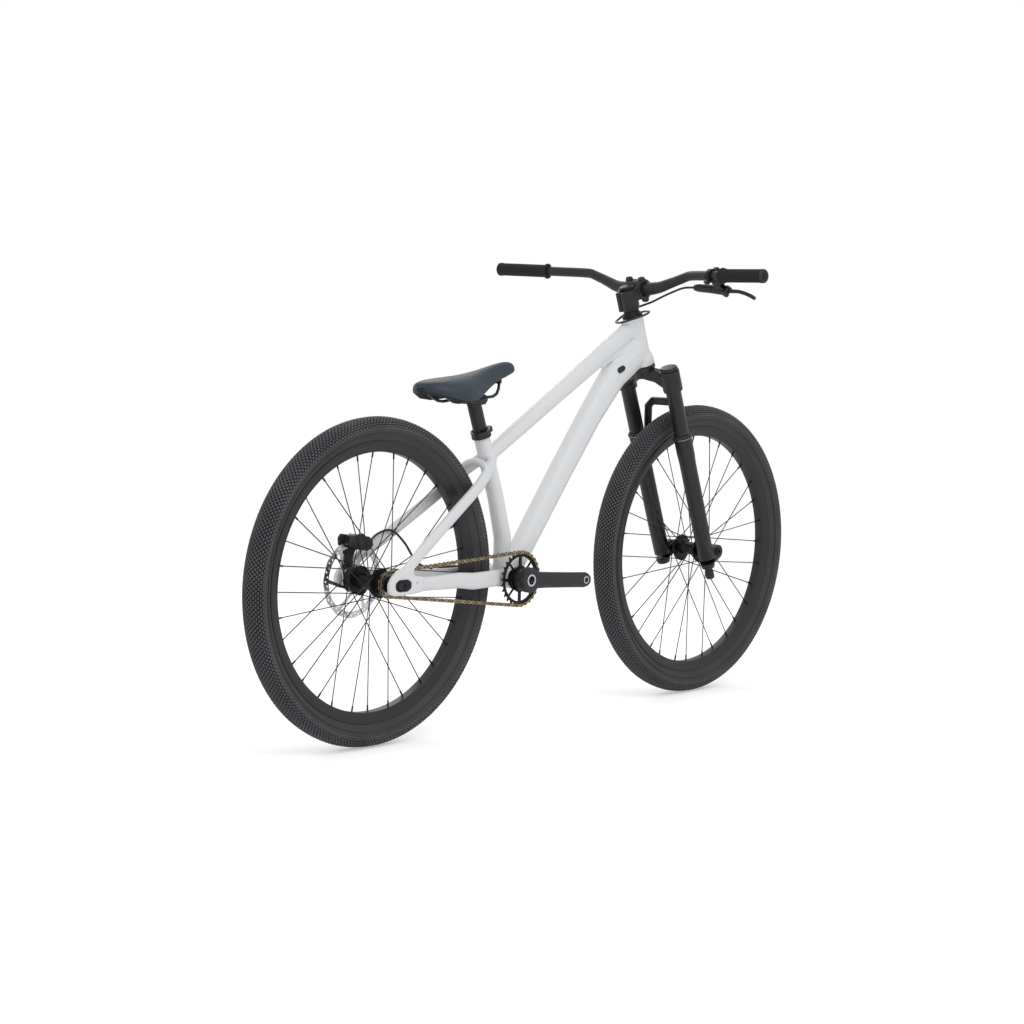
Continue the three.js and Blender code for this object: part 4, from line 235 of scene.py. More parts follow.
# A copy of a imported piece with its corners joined, its edges softened and its facets shaded round
def dress(node, material):
    piece = linked(node + "_dressed", nodes[node].data.copy())
    joinCorners(piece, surface["join"])
    bpy.ops.object.mode_set(mode="OBJECT")
    bevel = piece.modifiers.new("soften", "BEVEL")
    bevel.width = cornerOf.get(node, surface["edge"])
    bevel.segments = surface["edgeSteps"]
    bevel.limit_method = "ANGLE"
    bevel.angle_limit = math.radians(surface["edgeAngle"])
    bevel.use_clamp_overlap = True
    bpy.ops.object.modifier_apply(modifier="soften")
    smoothFacets(piece, surface["packedAngle"])
    coat(piece, material)
    seat(piece, node)
    return piece


dressed = {}
for name, members in coats.items():
    for node in members:
        dressed[node] = dress(node, finish[name])
print("pieces dressed")

# The steering axis: its way up, the way ahead of it and its foot. From here places are in millimetres, and mm
# turns them to metres.
lean = Vector((-0.350207, 0, 0.936672))
forward = Vector((0.936672, 0, 0.350207))
steerFoot = Vector((485.033, 0, 319.992))
rearAxle = Vector((-522.5, 0, 334))
bracketCentre = Vector((-130.539, 0, 316.7))
seatTop = Vector((-212.539, 0, 630.7))
leftward = Vector((0, 1, 0))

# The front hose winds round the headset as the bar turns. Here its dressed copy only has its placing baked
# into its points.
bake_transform(dressed["front_hose"])

# The gusset is a row of rods that fills the wedge between the top tube and the down tube
frameValues = {"voxel": 1.8, "relax": 16, "relaxFactor": 0.5, "thin": 0.36,
               "gusset": ((168, 0, 760.5), (283, 0, 816)),
               "gussetSpread": (-6, -3, 0, 3, 6), "gussetRadius": 5, "sealStart": 3, "sealShort": 8,
               "plugScale": (1.1, 0.6, 1.1, 1), "plugInset": 1}

# Bores of the frame: where the bore starts, its way, its length and radius, and the radius of the rod that
# seals it while the skin is rebuilt
frameBores = {
    "head": (steerFoot + lean * 470, lean, 121, 18.5, 20.2),
    "headLow": (steerFoot + lean * 468, lean, 12, 26.3, 0),
    "headHigh": (steerFoot + lean * 581, lean, 12, 21.2, 0),
    "bracket": (bracketCentre - leftward * 40, leftward, 80, 20.6, 22.2),
    "seat": (seatTop - lean * 150, lean, 155, 15.75, 16.6),
    "eyelet": (Vector((-473.5, -90, 337)), leftward, 180, 2.6, 0),
}


def addCylinder(foot, way, long, radius, sides=48):
    bpy.ops.mesh.primitive_cylinder_add(vertices=sides, radius=radius * mm, depth=long * mm,
                                        location=(foot + way * (long / 2)) * mm)
    piece = bpy.context.object
    piece.rotation_euler = way.to_track_quat("Z", "Y").to_euler()
    bpy.ops.object.transform_apply(location=True, rotation=True, scale=False)
    return piece


# The welded frame is one skin, rebuilt in small even faces and relaxed, so that tubes run into each other as
# they do at welds
def addFrameSkin():
    f = frameValues
    piece = linked("frame_skin", nodes["frame"].data.copy())
    seals = [addCylinder(foot + way * f["sealStart"], way, long - f["sealShort"], seal)
             for foot, way, long, radius, seal in frameBores.values() if seal]
    for node, hand in (("hose_grommet", 1), ("port_plug", -1)):
        seal = linked(node + "_seal", nodes[node].data.copy())
        middle = sum((v.co for v in seal.data.vertices), Vector()) / len(seal.data.vertices)
        inward = leftward * (-hand * f["plugInset"] * mm)
        move = Matrix.Translation(middle + inward) @ Matrix.Diagonal(f["plugScale"])
        seal.data.transform(move @ Matrix.Translation(-middle))
        seals.append(seal)
    low, high = (Vector(end) for end in f["gusset"])
    way = (high - low).normalized()
    for side in f["gussetSpread"]:
        seals.append(addCylinder(low + leftward * side, way, (high - low).length, f["gussetRadius"]))
    onlySelect(piece)
    for seal in seals:
        seal.select_set(True)
    bpy.ops.object.join()
    rebuild = piece.modifiers.new("rebuild", "REMESH")
    rebuild.mode = "VOXEL"
    rebuild.voxel_size = f["voxel"] * mm
    relax = piece.modifiers.new("relax", "SMOOTH")
    relax.factor = f["relaxFactor"]
    relax.iterations = f["relax"]
    thin = piece.modifiers.new("thin", "DECIMATE")
    thin.ratio = f["thin"]
    for name in ("rebuild", "relax", "thin"):
        bpy.ops.object.modifier_apply(modifier=name)
    for name, (foot, way, long, radius, seal) in frameBores.items():
        cutter = addCylinder(foot, way, long, radius)
        onlySelect(piece)
        cut = piece.modifiers.new(name, "BOOLEAN")
        cut.object = cutter
        cut.operation = "DIFFERENCE"
        cut.solver = "FAST"
        bpy.ops.object.modifier_apply(modifier=name)
        bpy.data.objects.remove(cutter)
    smoothFacets(piece, surface["relaxedAngle"])
    coat(piece, finish["whitePaint"])
    seat(piece, "frame")


addFrameSkin()
print("frame skinned")


def solidPiece(name, points, faces, material, body):
    mesh = bpy.data.meshes.new(name)
    mesh.from_pydata([tuple(p) for p in points], [], faces)
    piece = linked(name, mesh)
    joinCorners(piece, surface["join"])
    bpy.ops.mesh.normals_make_consistent(inside=False)
    bpy.ops.object.mode_set(mode="OBJECT")
    smoothFacets(piece, surface["builtAngle"])
    coat(piece, material)
    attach(piece, body)
    return piece


# Turns a closed outline of (radius, side) points round a wheel's axle
def spinOutline(name, outline, centre, steps, material, body):
    points = []
    faces = []
    count = len(outline)
    for step in range(steps):
        angle = 2 * math.pi * step / steps
        for radius, side in outline:
            points.append(centre + Vector((radius * math.cos(angle), side, radius * math.sin(angle))))
    for step in range(steps):
        here = step * count
        there = (step + 1) % steps * count
        for i in range(count):
            j = (i + 1) % count
            faces.append((here + i, here + j, there + j, there + i))
    return solidPiece(name, points, faces, material, body)


# A thin rod through stations of (place, radius), added to the points and faces of a piece
def addRod(points, faces, stations, sides=6):
    start = len(points)
    along = (stations[-1][0] - stations[0][0]).normalized()
    across = along.orthogonal().normalized()
    other = along.cross(across)
    for place, radius in stations:
        for k in range(sides):
            angle = 2 * math.pi * k / sides
            points.append(place + across * (radius * math.cos(angle)) + other * (radius * math.sin(angle)))
    for s in range(len(stations) - 1):
        for k in range(sides):
            n = (k + 1) % sides
            a = start + s * sides
            faces.append((a + k, a + n, a + sides + n, a + sides + k))
    faces.append([start + k for k in range(sides)])
    faces.append([len(points) - 1 - k for k in range(sides)])


wheelValues = {
    "rear": {"centre": Vector((-0.5225, 0, 0.334)), "body": "rear_wheel", "flanges": (34, -25)},
    "front": {"centre": Vector((0.5225, 0, 0.334)), "body": "front_wheel", "flanges": (28, -28)},
}

# The tyre's casing runs from the bead over the rim's edge to the crown. Its rows of blocks are counted from
# the crown.
tyreValues = {"radius": 334, "half": 27, "bead": (279.5, 12), "rimEdge": (286, 13.4), "skin": 0.8,
              "wall": 2.4, "innerShare": 0.86, "darkFrom": 0.945, "steps": 128, "rows": 8, "rowStep": 4.7,
              "around": 228}

# A block's foot and top are given as half its length and half its width
blockValues = {"high": 2.25, "shoulderLoss": 0.55, "sink": 0.6, "foot": (3.3, 1.8), "top": (2.6, 1.35)}
wallRingValues = {"at": 300.6, "side": 24.6, "halfHigh": 1.1, "halfWide": 0.9, "corners": 6}
rimValues = {"bed": 263.3, "steps": 128,
             "half": [(262.7, 4), (263.3, 9.5), (265.5, 11.5), (284, 15.5), (286, 15.1), (286, 13.5),
                      (267.3, 10.5), (267.3, 4)]}
spokeValues = {"count": 32, "crossings": 3, "hole": 27.5, "radius": 1.1, "standOff": 3.9, "offset": 3.5,
               "seat": 1, "headSide": 0.6, "headHalf": 1.6, "nipple": 2, "nippleNeck": 1.35, "nippleLong": 13,
               "taperHalf": 1}

# Half of the tyre's casing, from the rim to the crown, as shares of its radius and half width
casingShares = [(0.885, 0.80), (0.905, 0.925), (0.925, 0.985), (0.945, 0.99), (0.962, 0.93), (0.976, 0.79),
                (0.986, 0.56), (0.9915, 0.28), (0.993, 0)]


def casing():
    v = tyreValues
    half = [(radius * mm, side * mm) for radius, side in (v["bead"], v["rimEdge"])]
    half += [(v["radius"] * mm * r, (v["half"] - v["skin"]) * mm * w) for r, w in casingShares]
    return half


# Stations at equal steps down the casing from its crown: radius, side, and the way that faces out
def casingSteps():
    line = list(reversed(casing()))
    stations = []
    for row in range(tyreValues["rows"] + 1):
        left = row * tyreValues["rowStep"] * mm
        for (r0, y0), (r1, y1) in zip(line, line[1:]):
            span = math.hypot(r1 - r0, y1 - y0)
            if left <= span:
                break
            left -= span
        share = left / span
        stations.append((r0 + (r1 - r0) * share, y0 + (y1 - y0) * share, (y1 - y0) / span, (r0 - r1) / span))
    return stations


# Small blocks in staggered rows from shoulder to shoulder
def treadBlocks(points, faces, centre):
    v = tyreValues
    b = blockValues
    stations = casingSteps()
    for row in range(-v["rows"], v["rows"] + 1):
        hand = 1 if row > 0 else -1
        radius, side, faceOut, faceSide = stations[abs(row)]
        tall = b["high"] * (1 - b["shoulderLoss"] * abs(row) / v["rows"])
        for k in range(v["around"]):
            angle = 2 * math.pi * (k + 0.5 * (row % 2)) / v["around"]
            out = Vector((math.cos(angle), 0, math.sin(angle)))
            ahead = Vector((-math.sin(angle), 0, math.cos(angle)))
            up = (out * faceOut + Vector((0, faceSide * hand, 0))).normalized()
            wide = up.cross(ahead)
            foot = centre + out * radius + Vector((0, side * hand, 0)) - up * (b["sink"] * mm)
            start = len(points)
            for high, (longHalf, wideHalf) in ((0, b["foot"]), (tall + b["sink"], b["top"])):
                for x, y in ((-1, -1), (1, -1), (1, 1), (-1, 1)):
                    points.append(foot + (up * high + ahead * (longHalf * x) + wide * (wideHalf * y)) * mm)
            faces.append((start + 4, start + 5, start + 6, start + 7))
            for i in range(4):
                j = (i + 1) % 4
                faces.append((start + i, start + j, start + 4 + j, start + 4 + i))
            faces.append((start + 3, start + 2, start + 1, start))


# The casing between the blocks lies in shade, so its crown has a darker finish than its walls
def darkenCrown(tyre):
    tyre.data.materials.append(finish["treadFloor"])
    centre = sum((v.co for v in tyre.data.vertices), Vector()) / len(tyre.data.vertices)
    for face in tyre.data.polygons:
        far = face.center - centre
        if math.hypot(far.x, far.z) > tyreValues["radius"] * mm * tyreValues["darkFrom"]:
            face.material_index = 1


def addWheel(end):
    t = tyreValues
    centre = wheelValues[end]["centre"]
    body = wheelValues[end]["body"]
    rubber = finish["tyreRubber"]
    half = casing()
    inner = [(r - t["wall"] * mm if i > 1 else r, y * t["innerShare"]) for i, (r, y) in enumerate(half)]
    outline = half + [(r, -y) for r, y in reversed(half[:-1])]
    outline += [(r, -y) for r, y in inner] + list(reversed(inner[:-1]))
    tyre = spinOutline(end + "_tyre_casing", outline, centre, t["steps"], rubber, body)
    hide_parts(end + "_tyre")
    points = []
    faces = []
    treadBlocks(points, faces, centre)
    solidPiece(end + "_tyre_tread", points, faces, finish["treadBlock"], body)
    darkenCrown(tyre)
    w = wallRingValues
    turns = [2 * math.pi * k / w["corners"] for k in range(w["corners"])]
    for hand, word in ((-1, "_right"), (1, "_left")):
        ring = [((w["at"] + w["halfHigh"] * math.cos(a)) * mm,
                 hand * (w["side"] + w["halfWide"] * math.sin(a)) * mm) for a in turns]
        spinOutline(end + word + "_wall_ring", ring, centre, t["steps"], rubber, body)
    halfRim = [(radius * mm, side * mm) for radius, side in rimValues["half"]]
    rimLine = halfRim + [(radius, -side) for radius, side in reversed(halfRim)]
    rim = spinOutline(end + "_rim_hoop", rimLine, centre, rimValues["steps"], finish["satinBlack"], body)
    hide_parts(end + "_rim")
    addSpokes(end)


# Spokes leave each flange in turn, leading and trailing, and cross three others on the way to the rim
def addSpokes(end):
    w = wheelValues[end]
    centre = w["centre"]
    s = spokeValues
    points = []
    faces = []
    nipplePoints = []
    nippleFaces = []
    perSide = s["count"] // 2
    thick = s["radius"] * mm
    nipple = s["nipple"] * mm
    for i in range(s["count"]):
        left = i % 2 == 0
        number = i // 2
        leading = 1 if number % 2 == 0 else -1
        outward = 1 if left else -1
        hubAngle = 2 * math.pi * (number + (0 if left else 0.5)) / perSide
        rimAngle = hubAngle + leading * 2 * math.pi * s["crossings"] / perSide
        hubY = (w["flanges"][0] if left else w["flanges"][1]) + outward * s["standOff"] * leading
        start = centre + Vector((s["hole"] * math.cos(hubAngle), hubY, s["hole"] * math.sin(hubAngle))) * mm
        reach = rimValues["bed"] + s["seat"]
        rimY = outward * s["offset"]
        stop = centre + Vector((reach * math.cos(rimAngle), rimY, reach * math.sin(rimAngle))) * mm
        along = (stop - start).normalized()
        neck = stop - along * (s["nippleLong"] * mm)
        taper = along * (s["taperHalf"] * mm)
        addRod(points, faces, [(start, thick), (neck, thick)])
        head = start + leftward * (outward * leading * s["headSide"] * mm)
        halfHead = leftward * (s["headHalf"] * mm)
        addRod(points, faces, [(head - halfHead, thick), (head + halfHead, thick)])
        addRod(nipplePoints, nippleFaces, [(neck - taper, s["nippleNeck"] * mm), (neck + taper, nipple),
                                          (stop, nipple)])
    black = finish["anodisedBlack"]
    solidPiece(end + "_spokes", points, faces, black, w["body"])
    solidPiece(end + "_nipples", nipplePoints, nippleFaces, black, w["body"])


for end in ("rear", "front"):
    addWheel(end)
print("wheels built")

chainValues = {"pitch": 12.7, "ringTeeth": 28, "sprocketTeeth": 12, "links": 82, "line": -50,
               "roller": 3.9, "rollerHalf": 1.6, "plate": 4.1, "waist": 2.2, "thick": 1.0,
               "innerHalf": 1.75, "outerHalf": 2.95, "pin": 2.0, "pinHalf": 4.3, "sides": 8,
               "arcFrom": -72, "arcStep": 36, "arcPoints": 5}


# The chain's pins in the wheel's plane: round the ring, along the lower run, round the sprocket and back
def chainPins():
    v = chainValues
    ringRadius = v["pitch"] / 2 / math.sin(math.pi / v["ringTeeth"])
    sprocketRadius = v["pitch"] / 2 / math.sin(math.pi / v["sprocketTeeth"])
    ringPins = v["ringTeeth"] // 2 + 2
    sprocketPins = v["sprocketTeeth"] // 2
    pitches = (v["links"] - ringPins - sprocketPins) // 2 + 1
    ringLast = (ringPins - 1) * math.pi / v["ringTeeth"]
    sprocketLast = (sprocketPins - 1) * math.pi / v["sprocketTeeth"]
    axle = Vector((rearAxle.x, rearAxle.z))
    bracket = Vector((bracketCentre.x, bracketCentre.z))
    along = (bracket - axle).normalized()
    above = Vector((-along.y, along.x))
    ringAt = [bracket + along * (ringRadius * math.cos(a)) + above * (ringRadius * math.sin(a))
              for a in (ringLast * (1 - 2 * i / (ringPins - 1)) for i in range(ringPins))]
    sprocketAt = [axle - along * (sprocketRadius * math.cos(a)) - above * (sprocketRadius * math.sin(a))
                  for a in (sprocketLast * (1 - 2 * i / (sprocketPins - 1)) for i in range(sprocketPins))]
    pins = list(ringAt)
    pins += [ringAt[-1].lerp(sprocketAt[0], i / pitches) for i in range(1, pitches)]
    pins += sprocketAt
    pins += [sprocketAt[-1].lerp(ringAt[0], i / pitches) for i in range(1, pitches)]
    return pins


# A link's plate between two pins: an arc round each pin and a waist between them
def addPlate(link, a, b, low, high):
    v = chainValues
    points = link["points"]
    faces = link["faces"]
    along = (b - a).normalized()
    above = Vector((-along.y, along.x))
    middle = (a + b) / 2
    outline = []
    for centre, turn in ((b, 0), (a, math.pi)):
        for k in range(v["arcPoints"]):
            angle = turn + math.radians(v["arcFrom"] + v["arcStep"] * k)
            outline.append(centre + (along * math.cos(angle) + above * math.sin(angle)) * v["plate"])
        outline.append(middle + above * (v["waist"] if turn == 0 else -v["waist"]))
    start = len(points)
    count = len(outline)
    for y in (low, high):
        for p in outline:
            points.append(Vector((p.x, y, p.y)) * mm)
    faces.append([start + i for i in range(count)])
    faces.append([start + 2 * count - 1 - i for i in range(count)])
    for i in range(count):
        j = (i + 1) % count
        faces.append((start + i, start + j, start + count + j, start + count + i))


def addChain():
    v = chainValues
    pins = chainPins()
    outer = {"points": [], "faces": []}
    inner = {"points": [], "faces": []}
    rods = {"points": [], "faces": []}
    for i, pin in enumerate(pins):
        after = pins[(i + 1) % len(pins)]
        half = v["innerHalf"] if i % 2 else v["outerHalf"]
        link = inner if i % 2 else outer
        for side in (-1, 1):
            near = v["line"] + side * half
            far = near + side * v["thick"]
            addPlate(link, pin, after, min(near, far), max(near, far))
        place = Vector((pin.x, v["line"], pin.y))
        for radius, reach in ((v["roller"], v["rollerHalf"]), (v["pin"], v["pinHalf"])):
            ends = [((place + leftward * way) * mm, radius * mm) for way in (-reach, reach)]
            addRod(rods["points"], rods["faces"], ends, v["sides"])
    for name, part, material in (("chain_links", outer, "bronzePlate"),
                                 ("chain_inner_links", inner, "bronzeInner"),
                                 ("chain_pins", rods, "darkPin")):
        solidPiece(name, part["points"], part["faces"], finish[material], "frame")
    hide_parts("chain")


addChain()
print("chain built")

# Pieces that are round all over are packed forms subdivided, with long edges cut first where asked
refineValues = {"levels": 2, "longEdge": 0.04}


def refined(node, name, material, cuts=0):
    piece = linked(name, nodes[node].data.copy())
    joinCorners(piece, surface["join"])
    bpy.ops.mesh.tris_convert_to_quads()
    bpy.ops.mesh.select_mode(type="EDGE")
    bpy.ops.mesh.select_all(action="DESELECT")
    bpy.ops.object.mode_set(mode="OBJECT")
    if cuts:
        for edge in piece.data.edges:
            low, high = (piece.data.vertices[i].co for i in edge.vertices)
            edge.select = (high - low).length > refineValues["longEdge"]
        bpy.ops.object.mode_set(mode="EDIT")
        bpy.ops.mesh.subdivide(number_cuts=cuts)
        bpy.ops.object.mode_set(mode="OBJECT")
    refine = piece.modifiers.new("refine", "SUBSURF")
    refine.levels = refineValues["levels"]
    refine.render_levels = refineValues["levels"]
    bpy.ops.object.modifier_apply(modifier="refine")
    smoothFacets(piece, surface["relaxedAngle"])
    coat(piece, material)
    seat(piece, node)
    return piece


refined("handlebar", "handlebar_tube", finish["satinBlack"], cuts=4)
refined("saddle_cover", "saddle_skin", finish["saddleSkin"])
print("saddle covered")

# A bolt's head and the socket in it, as rings of shares of its height and its radius
boltValues = {"high": 2.2, "sides": 12, "rings": [(0, 1), (0.75, 1), (1, 0.86), (1, 0.55), (0.3, 0.506)]}


def addBolt(name, place, way, radius, body, material="anodisedBlack"):
    way = Vector(way).normalized()
    across = way.orthogonal().normalized()
    other = way.cross(across)
    place = Vector(place)
    rings = boltValues["rings"]
    points = []
    faces = []
    sides = boltValues["sides"]
    for high, share in rings:
        for k in range(sides):
            angle = 2 * math.pi * k / sides
            out = across * math.cos(angle) + other * math.sin(angle)
            points.append((place + way * (boltValues["high"] * high) + out * (radius * share)) * mm)
    for s in range(len(rings) - 1):
        for k in range(sides):
            n = (k + 1) % sides
            faces.append((s * sides + k, s * sides + n, (s + 1) * sides + n, (s + 1) * sides + k))
    faces.append([sides - 1 - k for k in range(sides)])
    faces.append([(len(rings) - 1) * sides + k for k in range(sides)])
    return solidPiece(name, points, faces, finish[material], body)


# Turns a closed outline of (radius, along) points round any axis
def turnRing(name, outline, foot, way, material, body, steps=40):
    across = way.orthogonal().normalized()
    other = way.cross(across)
    points = []
    faces = []
    count = len(outline)
    for step in range(steps):
        angle = 2 * math.pi * step / steps
        out = across * math.cos(angle) + other * math.sin(angle)
        points += [(foot + way * along + out * radius) * mm for radius, along in outline]
        for i in range(count):
            j = (i + 1) % count
            there = (step + 1) % steps * count
            faces.append((step * count + i, step * count + j, there + j, there + i))
    return solidPiece(name, points, faces, finish[material], body)


# The brake disc: a flat outline with windows and holes, filled and thickened
rotorValues = {"centre": (-522.5, 56, 334), "outer": 80, "wave": 1.6, "waves": 12, "edgeSteps": 240,
               "band": 66, "hub": 27, "bore": 15, "boreSteps": 48, "arms": 6, "armHalf": 4.2, "slant": 34,
               "arcSteps": 14, "half": 0.9, "holes": 48, "holeRings": (74.6, 70.2), "hole": 2.1,
               "holeSteps": 12, "join": 0.000002, "bolts": 6, "boltsAt": 20, "boltRadius": 4}


def onCircle(radius, angle):
    return (math.cos(angle) * radius, math.sin(angle) * radius)


def discLoops():
    v = rotorValues
    edge = [2 * math.pi * k / v["edgeSteps"] for k in range(v["edgeSteps"])]
    bore = [2 * math.pi * k / v["boreSteps"] for k in range(v["boreSteps"])]
    loops = [[onCircle(v["outer"] - v["wave"] * (1 - math.cos(v["waves"] * a)) / 2, a) for a in edge]]
    loops.append([onCircle(v["bore"], a) for a in bore])
    slant = math.radians(v["slant"])
    for arm in range(v["arms"]):
        first = 2 * math.pi * arm / v["arms"]
        last = first + 2 * math.pi / v["arms"]
        window = []
        for radius, turn, order in ((v["band"], 0, 1), (v["hub"], slant, -1)):
            edgeAngle = v["armHalf"] / radius
            low, high = first + edgeAngle + turn, last - edgeAngle + turn
            arc = [low + (high - low) * k / v["arcSteps"] for k in range(v["arcSteps"] + 1)][::order]
            window += [onCircle(radius, a) for a in arc]
        loops.append(window)
    small = [onCircle(v["hole"], 2 * math.pi * k / v["holeSteps"]) for k in range(v["holeSteps"])]
    for k in range(v["holes"]):
        x, y = onCircle(v["holeRings"][k % 2], 2 * math.pi * k / v["holes"])
        loops.append([(x + a, y + b) for a, b in small])
    return loops


def addRotor():
    v = rotorValues
    curve = bpy.data.curves.new("disc_outline", "CURVE")
    curve.dimensions = "2D"
    curve.fill_mode = "BOTH"
    curve.extrude = v["half"] * mm
    for loop in discLoops():
        line = curve.splines.new("POLY")
        line.points.add(len(loop) - 1)
        for point, (x, y) in zip(line.points, loop):
            point.co = (x * mm, y * mm, 0, 1)
        line.use_cyclic_u = True
    disc = linked("brake_disc", curve)
    disc.rotation_euler = (math.pi / 2, 0, 0)
    disc.location = Vector(v["centre"]) * mm
    onlySelect(disc)
    bpy.ops.object.convert(target="MESH")
    bpy.ops.object.transform_apply(location=True, rotation=True, scale=True)
    joinCorners(disc, v["join"])
    bpy.ops.object.mode_set(mode="OBJECT")
    smoothFacets(disc, surface["discAngle"])
    coat(disc, finish["brightAlloy"])
    seat(disc, "brake_rotor")
    for k in range(v["bolts"]):
        x, z = onCircle(v["boltsAt"], 2 * math.pi * k / v["bolts"])
        place = Vector(v["centre"]) + Vector((x, v["half"], z))
        addBolt(f"disc_bolt_{k}", place, leftward, v["boltRadius"], bodyOf["brake_rotor"])


addRotor()
print("disc cut")

# The rear hose arches from the caliper over to the chainstay
rearHoseValues = {"radius": 2.5, "each": 6, "sides": 14,
                  "line": [(-467, 60, 410), (-456, 58.5, 419), (-440, 55, 426.5), (-424, 52, 428.5),
                           (-408, 50.5, 423), (-392, 50, 411), (-374, 50, 394), (-358, 50, 374),
                           (-342, 50, 358), (-324, 49.8, 347.5), (-308, 49.5, 343), (-298, 49.4, 340)]}


# A curve through every point of a line, with as many steps between two points as asked
def smoothPath(line, each):
    ends = [line[0]] + line + [line[-1]]
    path = []
    for a, b, c, d in zip(ends, ends[1:], ends[2:], ends[3:]):
        for k in range(each):
            t = k / each
            bend = (2 * a - 5 * b + 4 * c - d) * t * t + (3 * b - a - 3 * c + d) * t ** 3
            path.append(((2 * b) + (c - a) * t + bend) / 2)
    return path + [line[-1]]


def addTube(name, values, material, node):
    radius = values["radius"]
    sides = values["sides"]
    path = smoothPath([Vector(p) for p in values["line"]], values["each"])
    points = []
    faces = []
    across = (path[1] - path[0]).orthogonal().normalized()
    for i, place in enumerate(path):
        along = (path[min(i + 1, len(path) - 1)] - path[max(i - 1, 0)]).normalized()
        across = (across - along * across.dot(along)).normalized()
        other = along.cross(across)
        for k in range(sides):
            angle = 2 * math.pi * k / sides
            out = across * math.cos(angle) + other * math.sin(angle)
            points.append((place + out * radius) * mm)
            if i:
                n = (k + 1) % sides
                here = i * sides
                faces.append((here - sides + k, here - sides + n, here + n, here + k))
    faces.append(list(range(sides)))
    faces.append([len(points) - 1 - k for k in range(sides)])
    tube = solidPiece(name, points, faces, finish[material], bodyOf[node])
    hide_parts(node)


addTube("rear_hose_line", rearHoseValues, "hoseSheath", "rear_hose")

# Rings, seals and bolts that sit on the pieces that carry them
smallParts = {
    "seal": [(17.9, 0.4), (21.6, 0.4), (21.9, 1.4), (21.9, 5.6), (21.2, 7.2), (18.6, 8.6), (17.9, 8.6)],
    "sealLine": [(21.6, 3.2), (22.15, 3.2), (22.15, 4.4), (21.6, 4.4)],
    "sealAt": (11, 65.5, 292),
    "axleEnd": (-522.5, 82, 334),
    "axleEndRadius": 6.2,
    "screw": (-504.5, 82, 334.2),
    "screwRadius": 3.6,
    "eyeRim": [(5.9, -1), (5.9, 0.35), (7.9, 0.35), (8.2, 0.1), (8.2, -1)],
    "eyeSteps": 28,
    "crank": 170,
    "pastEye": 8,
    "eyeFace": 91.6,
    "gripTip": 7,
    "gripRoot": 5,
    "capInset": 1.65,
    "barEnd": [(6, -0.6), (12.6, -0.6), (14.9, -2.6), (14.9, -9), (15.1, -9), (15.1, -2.2), (12.8, 0),
               (6, 0)],
}


def addSeals(word, hand):
    ahead, side, up = smallParts["sealAt"]
    lowers = bodyOf["fork_lowers"]
    foot = steerFoot + forward * ahead + leftward * (side * hand) + lean * up
    turnRing(word + "_wiper_seal", smallParts["seal"], foot, lean, "mouldedBlack", lowers)
    turnRing(word + "_seal_spring", smallParts["sealLine"], foot, lean, "groundSteel", lowers)


def addAxleEnd(word, hand):
    body = bodyOf[word + "_dropout_insert"]
    outward = leftward * hand
    for name, place, radius in (("_axle_end", smallParts["axleEnd"], smallParts["axleEndRadius"]),
                                ("_insert_screw", smallParts["screw"], smallParts["screwRadius"])):
        x, y, z = place
        addBolt(word + name, (x, y * hand, z), outward, radius, body, "forgedGrey")


# The crank arm's far end shows which way the arm points, and so where its eye is
def addEyeRim(word, hand):
    arm = word + "_crank_arm"
    ends = [v.co * 1000 - bracketCentre for v in nodes[arm].data.vertices]
    far = [p for p in ends if math.hypot(p.x, p.z) > smallParts["crank"] + smallParts["pastEye"]]
    way = sum((Vector((p.x, 0, p.z)) for p in far), Vector()).normalized()
    centre = bracketCentre + way * smallParts["crank"] + leftward * (smallParts["eyeFace"] * hand)
    turnRing(word + "_pedal_eye_rim", smallParts["eyeRim"], centre, leftward * hand, "brightAlloy",
             bodyOf[arm], smallParts["eyeSteps"])


def addBarEnd(word):
    grip = [v.co * 1000 for v in nodes[word + "_grip"].data.vertices]
    reach = max(abs(p.y) for p in grip)
    near = min(abs(p.y) for p in grip)
    tips = [p for p in grip if abs(p.y) > reach - smallParts["gripTip"]]
    roots = [p for p in grip if abs(p.y) < near + smallParts["gripRoot"]]
    tip = sum(tips, Vector()) / len(tips)
    way = (tip - sum(roots, Vector()) / len(roots)).normalized()
    tip = tip + way * ((reach - smallParts["capInset"] - abs(tip.y)) / abs(way.y))
    turnRing(word + "_bar_end_cap", smallParts["barEnd"], tip, way, "mouldedBlack", bodyOf[word + "_grip"])


def addFittings():
    for hand, word in ((1, "left"), (-1, "right")):
        addSeals(word, hand)
        addAxleEnd(word, hand)
        addEyeRim(word, hand)
        addBarEnd(word)


addFittings()
print("fittings placed")

# Light and floor. The camera sees white air, and the pieces are lit by slightly cooler air and two lamps.
studio = {"air": 0.7, "airColour": (0.97, 0.985, 1, 1), "aim": (0, 0, 0.5),
          "lamps": {"key": {"place": (-1.2, -2.6, 3.4), "size": 2.4, "power": 38},
                    "edge": {"place": (1.6, 2.8, 2.6), "size": 1.8, "power": 16}}}

# The floor is matt with a little light of its own for the camera, and fades out away from the bike
floorValues = {"colour": (0.9, 0.9, 0.909, 1), "lift": 0.4, "fade": (1.5, 2.6), "radius": 2.86, "sides": 96,
               "level": -0.0008}


